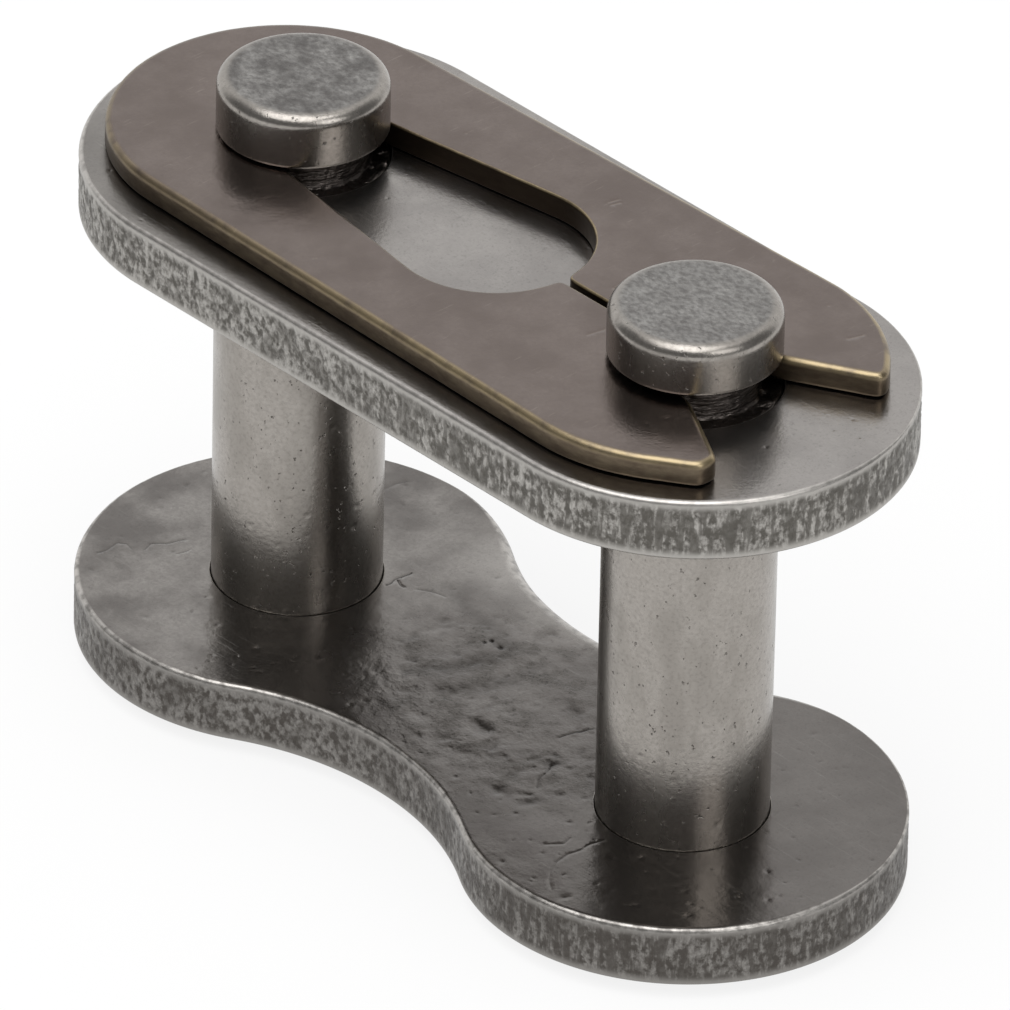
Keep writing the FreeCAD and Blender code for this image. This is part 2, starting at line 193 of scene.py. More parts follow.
@dataclass
class Loop:
    """Closed edge of a stamping, traced with the metal on its left.

    Attributes:
        points: Points of the edge, n by 2.
        top_round: Radius of the top edge at each point.
        bottom_round: Radius of the bottom edge at each point.
    """

    points: np.ndarray
    top_round: np.ndarray
    bottom_round: np.ndarray

    @staticmethod
    def trace(parts: Sequence[Arc | tuple[float, float]], corner: float) -> np.ndarray:
        """Join arcs and corner points into one evenly spaced outline.

        Args:
            parts: Arcs and single corner points in order.
            corner: How far the sharp corners are rounded.

        Returns:
            Points of the closed outline.
        """
        rows = [part.trace() if isinstance(part, Arc) else np.array([part]) for part in parts]
        line = resample(np.vstack(rows), OUTLINE_STEP)
        return soften(line, corner / OUTLINE_STEP) if corner else line

    def outward(self) -> np.ndarray:
        """Unit vectors that lead out of the metal, one for each point."""
        along = np.roll(self.points, -1, axis=0) - np.roll(self.points, 1, axis=0)
        along /= np.linalg.norm(along, axis=1)[:, None]
        return np.column_stack([along[:, 1], -along[:, 0]])


def inside(points: np.ndarray, loops: Sequence[np.ndarray]) -> np.ndarray:
    """Whether each point lies in the metal between the loops.

    Args:
        points: Points to test, n by 2.
        loops: Closed lines that bound the metal.

    Returns:
        One truth value for each point.
    """
    starts = np.vstack(loops)
    ends = np.vstack([np.roll(loop, -1, axis=0) for loop in loops])
    odd = np.zeros(len(points), bool)
    for block in np.array_split(np.arange(len(points)), max(1, len(points) // 1500)):
        x, y = points[block, 0][:, None], points[block, 1][:, None]
        crosses = (starts[:, 1] > y) != (ends[:, 1] > y)
        rise = np.where(ends[:, 1] == starts[:, 1], 1.0, ends[:, 1] - starts[:, 1])
        at = starts[:, 0] + (y - starts[:, 1]) / rise * (ends[:, 0] - starts[:, 0])
        odd[block] = np.count_nonzero(crosses & (at > x), axis=1) % 2 == 1
    return odd


def clear_of(points: np.ndarray, others: np.ndarray, gap: float) -> np.ndarray:
    """Drop the points that lie too near to any of the others.

    Args:
        points: Points to choose from, n by 2.
        others: Points to keep away from.
        gap: Least distance.

    Returns:
        The points that are left.
    """
    tree = KDTree(len(others))
    for index, (x, y) in enumerate(others.tolist()):
        tree.insert((x, y, 0), index)
    tree.balance()
    far = [tree.find((x, y, 0))[2] > gap for x, y in points.tolist()]
    return points[np.array(far, bool)]


def thin(points: np.ndarray, gap: float) -> np.ndarray:
    """Drop each point that lies too near to one before it.

    Args:
        points: Points to choose from, n by 2.
        gap: Least distance.

    Returns:
        The points that are left.
    """
    tree = KDTree(len(points))
    for index, (x, y) in enumerate(points.tolist()):
        tree.insert((x, y, 0), index)
    tree.balance()
    keep = np.ones(len(points), bool)
    for index, (x, y) in enumerate(points.tolist()):
        if keep[index]:
            for _, other, _ in tree.find_range((x, y, 0), gap):
                if other > index:
                    keep[other] = False
    return points[keep]


# Marks pressed into a face


@dataclass(frozen=True)
class Crack:
    """Fine groove along a bent line, as rolling and stamping open in a plate's skin.

    Attributes:
        line: Points that the groove follows.
        width: Width across the top.
        depth: Depth of its bottom.
        stain: How dark its bottom is, from 0 to 1.
    """

    line: tuple[tuple[float, float], ...]
    width: float = 0.07
    depth: float = 0.035
    stain: float = 1.0

    def spine(self) -> np.ndarray:
        """Evenly spaced points along the middle of the groove."""
        corners = np.array(self.line)
        lengths = np.concatenate([[0], np.cumsum(np.linalg.norm(np.diff(corners, axis=0), axis=1))])
        at = np.linspace(0, lengths[-1], max(2, round(lengths[-1] / 0.05)))
        return np.column_stack([np.interp(at, lengths, corners[:, k]) for k in (0, 1)])

    def net(self) -> np.ndarray:
        """Points that the face needs to show the groove."""
        spine = self.spine()
        along = np.gradient(spine, axis=0)
        along /= np.linalg.norm(along, axis=1)[:, None]
        side = np.column_stack([-along[:, 1], along[:, 0]]) * self.width / 2
        return np.vstack([spine, spine + side, spine - side])

    def sink(self, points: np.ndarray) -> np.ndarray:
        """How deep the groove lies at each of the points."""
        spine = self.spine()
        away = np.min(np.linalg.norm(points[:, None] - spine[None], axis=2), axis=1)
        return self.depth * np.clip(1 - away / (self.width / 2), 0, 1)


@dataclass(frozen=True)
class Dent:
    """Shallow hollow with an oval outline.

    Attributes:
        x: Centre along X.
        y: Centre along Y.
        length: Half length.
        width: Half width.
        turn: Angle of its length from +X, in degrees.
        depth: Depth in the middle.
        steep: How much steeper than a bell its sides are.
        stain: How dark its bottom is, from 0 to 1.
    """

    x: float
    y: float
    length: float
    width: float
    turn: float = 0.0
    depth: float = 0.03
    steep: float = 1.0
    stain: float = 0.0

    def net(self) -> np.ndarray:
        """Points that the face needs to show a small hollow; a large one needs none."""
        if min(self.length, self.width) > WIDE_DENT:
            return np.zeros((0, 2))
        angles = np.linspace(0, 2 * math.pi, 8, endpoint=False)
        ring = np.column_stack([np.cos(angles) * self.length, np.sin(angles) * self.width])
        net = np.vstack([[[0.0, 0.0]], ring * 0.5, ring])
        turn = math.radians(self.turn)
        spin = np.array([[math.cos(turn), math.sin(turn)], [-math.sin(turn), math.cos(turn)]])
        return net @ spin + (self.x, self.y)

    def sink(self, points: np.ndarray) -> np.ndarray:
        """How deep the hollow is at each of the points."""
        turn = math.radians(self.turn)
        shift = points - (self.x, self.y)
        u = (shift[:, 0] * math.cos(turn) + shift[:, 1] * math.sin(turn)) / self.length
        v = (shift[:, 1] * math.cos(turn) - shift[:, 0] * math.sin(turn)) / self.width
        return self.depth * (1 - smoothstep(0, 1, np.hypot(u, v) ** self.steep))


@dataclass(frozen=True)
class Ripple:
    """Shallow trough left beside a blow.

    Attributes:
        line: Points that its crest follows.
        width: Half width across the crest.
        depth: Depth along the middle.
        stain: How dark its bottom is, from 0 to 1.
    """

    line: tuple[tuple[float, float], ...]
    width: float
    depth: float
    stain: float = 0.0

    def net(self) -> np.ndarray:
        """A ripple needs no points of its own."""
        return np.zeros((0, 2))

    def sink(self, points: np.ndarray) -> np.ndarray:
        """How deep the ripple is at each of the points."""
        spine = Crack(self.line).spine()
        away = np.min(np.linalg.norm(points[:, None] - spine[None], axis=2), axis=1)
        return self.depth * (1 - smoothstep(0, 1, away / self.width))


Mark = Crack | Dent | Ripple


@dataclass(frozen=True)
class Scatter:
    """Small pits spread over a face by chance.

    Attributes:
        count: How many are tried.
        smallest: Least radius.
        largest: Greatest radius.
        depth: Depth of the largest.
        seed: Fixed seed.
        low: Lowest corner of the rectangle that they are spread over.
        high: Highest corner of it.
    """

    count: int
    smallest: float
    largest: float
    depth: float
    seed: int
    low: tuple[float, float]
    high: tuple[float, float]

    def marks(self) -> list[Dent]:
        """One dent for each pit."""
        chance = np.random.default_rng(self.seed)
        dents = []
        for _ in range(self.count):
            x, y = chance.uniform(self.low, self.high)
            size = self.smallest + (self.largest - self.smallest) * chance.random() ** 2.5
            dents.append(
                Dent(
                    x=x,
                    y=y,
                    length=size * chance.uniform(1.0, 2.2),
                    width=size,
                    turn=chance.uniform(0, 180),
                    depth=self.depth * size / self.largest,
                    stain=chance.uniform(0.2, 0.9),
                )
            )
        return dents


@dataclass(frozen=True)
class Bruise:
    """Ragged oval ring of hollows where a blow has pushed the skin up.

    Attributes:
        x: Centre along X.
        y: Centre along Y.
        length: Half length of the ring.
        width: Half width of the ring.
        turn: Angle of its length from +X, in degrees.
        count: How many hollows lie round it.
        depth: Depth of the deepest.
        seed: Fixed seed.
    """

    x: float
    y: float
    length: float
    width: float
    turn: float
    count: int
    depth: float
    seed: int

    def marks(self) -> list[Dent]:
        """One dent for each hollow."""
        chance = np.random.default_rng(self.seed)
        turn = math.radians(self.turn)
        dents = []
        for angle in chance.uniform(0, 2 * math.pi, self.count):
            away = chance.normal(1.0, 0.13)
            u = self.length * away * math.cos(angle)
            v = self.width * away * math.sin(angle)
            size = chance.uniform(0.08, 0.22)
            share = chance.uniform(0.25, 1.0)
            dents.append(
                Dent(
                    x=self.x + u * math.cos(turn) - v * math.sin(turn),
                    y=self.y + u * math.sin(turn) + v * math.cos(turn),
                    length=size * chance.uniform(1.2, 2.4),
                    width=size,
                    turn=self.turn + math.degrees(angle) + 90 + chance.uniform(-25, 25),
                    depth=self.depth * share,
                    stain=chance.uniform(0.1, 0.6),
                )
            )
        return dents


# Meshes


@dataclass
class Net:
    """Vertices, faces and point values of a mesh that grows piece by piece."""

    points: list[np.ndarray] = field(default_factory=list)
    faces: list[list[int]] = field(default_factory=list)
    values: dict[Zone, list[np.ndarray]] = field(default_factory=dict)
    size: int = 0

    def add(self, points: np.ndarray, values: dict[Zone, np.ndarray | float]) -> int:
        """Append points.

        Args:
            points: New points, n by 3.
            values: How far each of them belongs to each zone.

        Returns:
            The index of the first new point.
        """
        first = self.size
        self.points.append(points)
        for zone, value in values.items():
            self.values.setdefault(zone, []).append(np.broadcast_to(value, len(points)))
        self.size += len(points)
        return first

    def mesh(self, name: str) -> bpy.types.Mesh:
        """Turn the net into a smooth shaded mesh in metres."""
        mesh = bpy.data.meshes.new(name)
        mesh.from_pydata((np.vstack(self.points) * MM).tolist(), [], self.faces)
        for zone, parts in self.values.items():
            layer = mesh.attributes.new(zone.value, "FLOAT", "POINT")
            layer.data.foreach_set("value", np.concatenate(parts).astype(np.float32))
        mesh.shade_smooth()
        mesh.validate()
        return mesh


@dataclass
class Stamping:
    """Flat piece cut from strip: rounded walls along each loop and a fine net over both faces.

    Attributes:
        loops: The outline first, then the holes.
        bottom: Level of the underside.
        top: Level of the upper face.
        wall_step: Spacing of the rows on the walls.
        top_step: Spacing of the points on the upper face.
        bottom_step: Spacing of the points on the underside.
        marks: Marks pressed into the upper face.
        beaten: Centre and half lengths of the oval part of the upper face that blows have roughened.
        shear_fade: How far from the rounded edges the walls' torn grain reaches full depth.
        round_rows: Rows that turn a rounded edge.
        margin: Width of the flat row inside each rounded edge.
        edge_gap: Least distance of a mark's points from the rows at the edges.
        mark_gap: Least distance between the points of two marks.
        comb_gap: Least distance of the honeycomb's points from those of a mark.
    """

    loops: list[Loop]
    bottom: float
    top: float
    wall_step: float = 0.05
    top_step: float = 0.1
    bottom_step: float = 0.22
    marks: Sequence[Mark] = ()
    beaten: tuple[float, float, float, float] | None = None
    shear_fade: float = 0.16
    round_rows: int = 5
    margin: float = 0.03
    edge_gap: float = 0.12
    mark_gap: float = 0.018
    comb_gap: float = 0.05

    def hammer(self, points: np.ndarray) -> np.ndarray:
        """How roughened the upper face is at each of the points, from 0 to 1."""
        if self.beaten is None:
            return np.zeros(len(points))
        x, y, length, width = self.beaten
        return 1 - smoothstep(0.6, 1.25, np.hypot((points[:, 0] - x) / length, (points[:, 1] - y) / width))

    def sweep(self, net: Net, loop: Loop) -> tuple[np.ndarray, np.ndarray]:
        """Lay the wall of one loop, from the upper face round both edges to the underside.

        Args:
            net: The net to add to.
            loop: The edge to follow.

        Returns:
            The indices of the wall's first and last row.
        """
        out = loop.outward()
        count = len(out)
        top, bottom = np.full(count, self.top), np.full(count, self.bottom)
        wall_top, wall_bottom = top - loop.top_round, bottom + loop.bottom_round
        turns = np.linspace(0, math.pi / 2, self.round_rows)
        steps = max(2, round((self.top - self.bottom) / self.wall_step))
        # Each row: how far in it lies, its level, how much it belongs to the wall and to the rim,
        # which takes the rubbed colour and a painted highlight
        rows = [(loop.top_round + self.margin, top, 0.0, 0.0)]
        for turn in turns:
            level = self.top - loop.top_round * (1 - math.cos(turn))
            rows.append((loop.top_round * (1 - math.sin(turn)), level, math.sin(turn), math.sin(2 * turn)))
        for share in np.arange(1, steps) / steps:
            rows.append((np.zeros(count), wall_top + (wall_bottom - wall_top) * share, 1.0, 0.0))
        for turn in turns[::-1]:
            level = self.bottom + loop.bottom_round * (1 - math.cos(turn))
            rows.append((loop.bottom_round * (1 - math.sin(turn)), level, math.sin(turn), 0.0))
        rows.append((loop.bottom_round + self.margin, bottom, 0.0, 0.0))
        first = net.size
        for inset, level, wall, rim in rows:
            flat = loop.points - out * inset[:, None]
            edge = np.minimum(wall_top - level, level - wall_bottom)
            upper = float(np.mean(level)) > (self.top + self.bottom) / 2
            net.add(
                np.column_stack([flat, level]),
                {
                    Zone.WALL: wall,
                    Zone.SHEAR: smoothstep(-0.3 * self.shear_fade, self.shear_fade, edge),
                    Zone.RIM: rim,
                    Zone.FACE: (1 - wall) * upper,
                    Zone.HAMMERED: self.hammer(flat) * (1 - wall) if upper else 0.0,
                    Zone.MARK: 0.0,
                },
            )
        grid = first + np.arange(len(rows) * count).reshape(len(rows), count)
        ahead = np.roll(grid, -1, axis=1)
        quads = np.stack([grid[:-1], grid[1:], ahead[1:], ahead[:-1]], axis=-1)
        net.faces.extend(quads.reshape(-1, 4).tolist())
        return grid[0], grid[-1]

    def spread(self, loops: Sequence[np.ndarray], step: float) -> np.ndarray:
        """Points in a honeycomb over the face, clear of the loops and of the marks' own points."""
        border = np.vstack(loops)
        low, high = border.min(axis=0), border.max(axis=0)
        columns = np.arange(low[0], high[0], step)
        rows = np.arange(low[1], high[1], step * math.sqrt(3) / 2)
        x, y = np.meshgrid(columns, rows)
        x = x + (np.arange(len(rows)) % 2)[:, None] * step / 2
        comb = np.column_stack([x.ravel(), y.ravel()])
        return clear_of(comb[inside(comb, loops)], border, 0.55 * step)

    def cover(self, net: Net, rings: Sequence[np.ndarray], upper: bool) -> None:
        """Fill one face between the ends of its walls.

        Args:
            net: The net to add to.
            rings: Indices of the walls' points that bound the face.
            upper: Whether it is the upper face.
        """
        # The triangulation rounds to single precision, so the test for inside has to see the same.
        known = np.vstack(net.points).astype(np.float32).astype(float)
        loops = [known[ring][:, :2] for ring in rings]
        step = self.top_step if upper else self.bottom_step
        inner = self.spread(loops, step)
        marks = self.marks if upper else ()
        if marks:
            nets = np.vstack([mark.net() for mark in marks])
            nets = clear_of(nets[inside(nets, loops)], np.vstack(loops), self.edge_gap)
            nets = thin(nets, self.mark_gap)
            inner = np.vstack([clear_of(inner, nets, self.comb_gap), nets])
        sunk, stained = np.zeros(len(inner)), np.zeros(len(inner))
        for mark in marks:
            depth = mark.sink(inner)
            sunk += depth
            stained += depth * mark.stain
        level = self.top if upper else self.bottom
        first = net.add(
            np.column_stack([inner, level - sunk]),
            {
                Zone.WALL: 0.0,
                Zone.SHEAR: 0.0,
                Zone.RIM: 0.0,
                Zone.FACE: float(upper),
                Zone.HAMMERED: self.hammer(inner) if upper else 0.0,
                Zone.MARK: np.clip(stained / FULL_STAIN, 0, 1),
            },
        )
        border = np.concatenate(rings)
        index = np.concatenate([border, first + np.arange(len(inner))])
        flat = np.vstack([*loops, inner])
        edges, start = [], 0
        for loop in loops:
            ring = np.arange(start, start + len(loop))
            edges.extend(zip(ring.tolist(), np.roll(ring, -1).tolist()))
            start += len(loop)
        out, _, triangles, origins, _, _ = delaunay_2d_cdt(
            [Vector(point) for point in flat.tolist()], edges, [], 1, 1e-7, True
        )
        source = np.array([origin[0] for origin in origins])
        corners = source[np.array(triangles)]
        keep = inside(flat[corners].mean(axis=1), loops)
        corners = index[corners[keep]]
        net.faces.extend((corners if upper else corners[:, ::-1]).tolist())

    def mesh(self, name: str) -> bpy.types.Mesh:
        """Build the whole stamping as one closed mesh."""
        net = Net()
        ends = [self.sweep(net, loop) for loop in self.loops]
        self.cover(net, [end[0] for end in ends], upper=True)
        self.cover(net, [end[1] for end in ends], upper=False)
        return net.mesh(name)


# Geometry node trees

Setting = float | int | str | Sequence[float] | bpy.types.NodeSocket


def add(
    tree: bpy.types.NodeTree, kind: str, inputs: dict[str | int, Setting] | None = None, **settings: object
) -> bpy.types.Node:
    """Add a node to a tree.

    Args:
        tree: A shader tree or a geometry tree.
        kind: The node's type.
        inputs: For sockets by name or number, a value or the output that feeds it.
        **settings: The node's own properties.

    Returns:
        The new node.
    """
    node = tree.nodes.new(kind)
    for name, value in settings.items():
        setattr(node, name, value)
    for key, value in (inputs or {}).items():
        if isinstance(value, bpy.types.NodeSocket):
            tree.links.new(value, node.inputs[key])
        else:
            node.inputs[key].default_value = value
    return node


def new_tree(name: str, sockets: dict[str, str]) -> tuple[bpy.types.NodeTree, bpy.types.Node]:
    """Start a geometry tree with named inputs.

    Args:
        name: Name of the tree.
        sockets: Kind of each input by its name, besides the geometry.

    Returns:
        The tree and its input node.
    """
    tree = bpy.data.node_groups.new(name, "GeometryNodeTree")
    tree.interface.new_socket(name="Geometry", in_out="INPUT", socket_type="NodeSocketGeometry")
    for socket, kind in sockets.items():
        tree.interface.new_socket(name=socket, in_out="INPUT", socket_type="NodeSocket" + kind)
    tree.interface.new_socket(name="Geometry", in_out="OUTPUT", socket_type="NodeSocketGeometry")
    return tree, add(tree, "NodeGroupInput")


def close_tree(tree: bpy.types.NodeTree, start: bpy.types.Node, geometry: bpy.types.NodeSocket) -> None:
    """End a geometry tree: real geometry with the wanted material.

    Args:
        tree: The tree to end.
        start: Its input node, which has a Material input.
        geometry: The finished geometry.
    """
    real = add(tree, "GeometryNodeRealizeInstances", {0: geometry})
    inputs = {0: real.outputs[0], "Material": start.outputs["Material"]}
    dressed = add(tree, "GeometryNodeSetMaterial", inputs)
    add(tree, "NodeGroupOutput", {0: dressed.outputs[0]})


def relief_tree() -> bpy.types.NodeTree:
    """Tree that sinks a grainy pattern into the parts of a surface that an attribute marks."""
    numbers = dict.fromkeys(("Depth", "From", "To", "Detail", "Seed"), "Float")
    sockets = {"Mask": "String", "Grain size": "Vector", **numbers, "Material": "Material"}
    tree, start = new_tree("surface_relief", sockets)
    wanted = start.outputs
    place = add(tree, "GeometryNodeInputPosition").outputs[0]
    grain = add(tree, "ShaderNodeVectorMath", {0: place, 1: wanted["Grain size"]}, operation="DIVIDE")
    noise = add(
        tree,
        "ShaderNodeTexNoise",
        {
            "Vector": grain.outputs[0],
            "W": wanted["Seed"],
            "Scale": 1.0,
            "Detail": wanted["Detail"],
            "Roughness": 0.6,
        },
        noise_dimensions="4D",
    )
    hollow = add(
        tree,
        "ShaderNodeMapRange",
        {"Value": noise.outputs[0], "From Min": wanted["From"], "From Max": wanted["To"]},
        interpolation_type="SMOOTHSTEP",
    )
    mask = add(tree, "GeometryNodeInputNamedAttribute", {"Name": wanted["Mask"]}, data_type="FLOAT")
    sunk = hollow.outputs[0]
    for factor in (mask.outputs[0], wanted["Depth"], -1.0):
        sunk = add(tree, "ShaderNodeMath", {0: sunk, 1: factor}, operation="MULTIPLY").outputs[0]
    normal = add(tree, "GeometryNodeInputNormal").outputs[0]
    offset = add(tree, "ShaderNodeVectorMath", {0: normal, "Scale": sunk}, operation="SCALE")
    moved = add(
        tree, "GeometryNodeSetPosition", {"Geometry": wanted["Geometry"], "Offset": offset.outputs[0]}
    )
    close_tree(tree, start, moved.outputs[0])
    return tree


def lathe_tree(zones: Sequence[Zone]) -> bpy.types.NodeTree:
    """Tree that turns a profile line round the Z axis, as a lathe does.

    Args:
        zones: Attributes of the profile that the turned surface keeps.

    Returns:
        The tree; its geometry input is a row of points with their radius along X.
    """
    tree, start = new_tree(
        "turned_part",
        {"Profile points": "Int", "Segments": "Int", "Centre": "Vector", "Material": "Material"},
    )
    profile, points, segments = (start.outputs[name] for name in ("Geometry", "Profile points", "Segments"))
    columns = add(tree, "ShaderNodeMath", {0: segments, 1: 1.0}, operation="ADD")
    grid = add(tree, "GeometryNodeMeshGrid", {"Vertices X": columns.outputs[0], "Vertices Y": points})
    angle = index = add(tree, "GeometryNodeInputIndex").outputs[0]
    row = add(tree, "ShaderNodeMath", {0: index, 1: points}, operation="MODULO").outputs[0]
    steps = (("SUBTRACT", row), ("DIVIDE", points), ("DIVIDE", segments), ("MULTIPLY", 2 * math.pi))
    for operation, value in steps:
        angle = add(tree, "ShaderNodeMath", {0: angle, 1: value}, operation=operation).outputs[0]
    place = add(tree, "GeometryNodeInputPosition").outputs[0]
    point = add(
        tree,
        "GeometryNodeSampleIndex",
        {"Geometry": profile, "Value": place, "Index": row},
        data_type="FLOAT_VECTOR",
    )
    swung = add(
        tree,
        "ShaderNodeVectorRotate",
        {"Vector": point.outputs[0], "Axis": (0.0, 0.0, 1.0), "Angle": angle},
        rotation_type="AXIS_ANGLE",
    )
    shifted = add(
        tree, "ShaderNodeVectorMath", {0: swung.outputs[0], 1: start.outputs["Centre"]}, operation="ADD"
    )
    shaped = add(
        tree, "GeometryNodeSetPosition", {"Geometry": grid.outputs["Mesh"], "Position": shifted.outputs[0]}
    )
    geometry = shaped.outputs[0]
    for zone in zones:
        value = add(tree, "GeometryNodeInputNamedAttribute", {"Name": zone.value}, data_type="FLOAT")
        sampled = add(
            tree,
            "GeometryNodeSampleIndex",
            {"Geometry": profile, "Value": value.outputs[0], "Index": row},
            data_type="FLOAT",
        )
        kept = add(
            tree,
            "GeometryNodeStoreNamedAttribute",
            {"Geometry": geometry, "Name": zone.value, "Value": sampled.outputs[0]},
            data_type="FLOAT",
            domain="POINT",
        )
        geometry = kept.outputs[0]
    closed = add(tree, "GeometryNodeMergeByDistance", {"Geometry": geometry, "Distance": 0.001 * MM})
    smooth = add(tree, "GeometryNodeSetShadeSmooth", {"Geometry": closed.outputs[0]})
    close_tree(tree, start, smooth.outputs[0])
    return tree


def run_tree(piece: bpy.types.Object, tree: bpy.types.NodeTree, settings: dict[str, object]) -> None:
    """Run a geometry tree over a piece and keep the result as its plain mesh.

    Args:
        piece: The object to change.
        tree: The tree to run.
        settings: Values of the tree's inputs, by name.
    """
    modifier = piece.modifiers.new(tree.name, "NODES")
    modifier.node_group = tree
    for item in tree.interface.items_tree:
        if item.in_out == "INPUT" and item.name in settings:
            modifier[item.identifier] = settings[item.name]
    graph = bpy.context.evaluated_depsgraph_get()
    mesh = bpy.data.meshes.new_from_object(
        piece.evaluated_get(graph), preserve_all_data_layers=True, depsgraph=graph
    )
    piece.modifiers.clear()
    old, piece.data = piece.data, mesh
    bpy.data.meshes.remove(old)
    mesh.name = piece.name


@dataclass(frozen=True)
class Grain:
    """Cloudy pattern from 0 to 1 that is fixed to the piece.

    Attributes:
        size: Size of a grain in millimetres along X, Y and Z.
        low: Noise value that gives 0.
        high: Noise value that gives 1.
        detail: Octaves of finer grain.
        seed: Fixed seed.
        turn: Angle of the grain about Z, in degrees.
    """

    size: tuple[float, float, float]
    low: float
    high: float
    detail: float = 3.0
    seed: float = 0.0
    turn: float = 0.0

    def lay(self, shading: "Shading") -> bpy.types.NodeSocket:
        """Build the pattern in a material.

        Args:
            shading: The material's tree that takes the pattern.

        Returns:
            The output that holds the pattern.
        """
        stretch = {
            "Vector": shading.place,
            "Rotation": (0.0, 0.0, math.radians(self.turn)),
            "Scale": tuple(1 / length for length in self.size),
        }
        spread = add(shading.tree, "ShaderNodeMapping", stretch, vector_type="POINT")
        noise = add(
            shading.tree,
            "ShaderNodeTexNoise",
            {
                "Vector": spread.outputs[0],
                "W": self.seed,
                "Scale": 1.0,
                "Detail": self.detail,
                "Roughness": 0.6,
            },
            noise_dimensions="4D",
        )
        eased = add(
            shading.tree,
            "ShaderNodeMapRange",
            {"Value": noise.outputs[0], "From Min": self.low, "From Max": self.high},
            interpolation_type="SMOOTHSTEP",
        )
        return eased.outputs[0]


# Torn grain of the cut walls. Mesh and colour share it, so every hollow is dark.
TORN = Grain((0.16, 0.16, 0.22), 0.38, 0.62, detail=3.0, seed=21.0)


@dataclass(frozen=True)
class Relief:
    """Grain sunk into a zone of a surface.

    Attributes:
        zone: Where it is sunk.
        grain: Pattern of the hollows.
        depth: Deepest hollow in millimetres.
    """

    zone: Zone
    grain: Grain
    depth: float

    def press(self, piece: bpy.types.Object, tree: bpy.types.NodeTree, material: bpy.types.Material) -> None:
        """Sink the grain into a piece.

        Args:
            piece: The object to change.
            tree: The relief tree.
            material: The piece's material.
        """
        settings = {
            "Mask": self.zone.value,
            "Grain size": [size * MM for size in self.grain.size],
            "Depth": self.depth * MM,
            "From": self.grain.low,
            "To": self.grain.high,
            "Detail": self.grain.detail,
            "Seed": self.grain.seed,
            "Material": material,
        }
        run_tree(piece, tree, settings)


# Finishes


def linear(colour: str) -> tuple[float, float, float, float]:
    """Turn an sRGB hex colour into the linear values that shaders use.

    Args:
        colour: Six hex digits after a hash sign.

    Returns:
        Red, green, blue and an alpha of 1.
    """
    shares = [int(colour[k : k + 2], 16) / 255 for k in (1, 3, 5)]
    red, green, blue = (s / 12.92 if s <= 0.04045 else ((s + 0.055) / 1.055) ** 2.4 for s in shares)
    return red, green, blue, 1.0


@dataclass(frozen=True)
class Fade:
    """Value that rises from 0 to 1 along an axis.

    Attributes:
        axis: X, Y or Z.
        low: Where it is 0, in millimetres.
        high: Where it is 1, in millimetres.
    """

    axis: str
    low: float
    high: float

    def lay(self, shading: "Shading") -> bpy.types.NodeSocket:
        """Build the fade in a material.

        Args:
            shading: The material's tree that takes the pattern.

        Returns:
            The output that holds the pattern.
        """
        parts = add(shading.tree, "ShaderNodeSeparateXYZ", {0: shading.place})
        eased = add(
            shading.tree,
            "ShaderNodeMapRange",
            {"Value": parts.outputs[self.axis], "From Min": self.low, "From Max": self.high},
            interpolation_type="SMOOTHSTEP",
        )
        return eased.outputs[0]


@dataclass(frozen=True)
class Between:
    """Number that goes from one value to another as a share goes from 0 to 1.

    Attributes:
        first: Number where the share is 0.
        last: Number where the share is 1.
        share: Factors whose product is the share.
    """

    first: float
    last: float
    share: tuple["Factor", ...]

    def lay(self, shading: "Shading") -> bpy.types.NodeSocket:
        """Build the number in a material."""
        return shading.coat(self.first, (self.last, *self.share))


Factor = Grain | Fade | Between | Zone | float


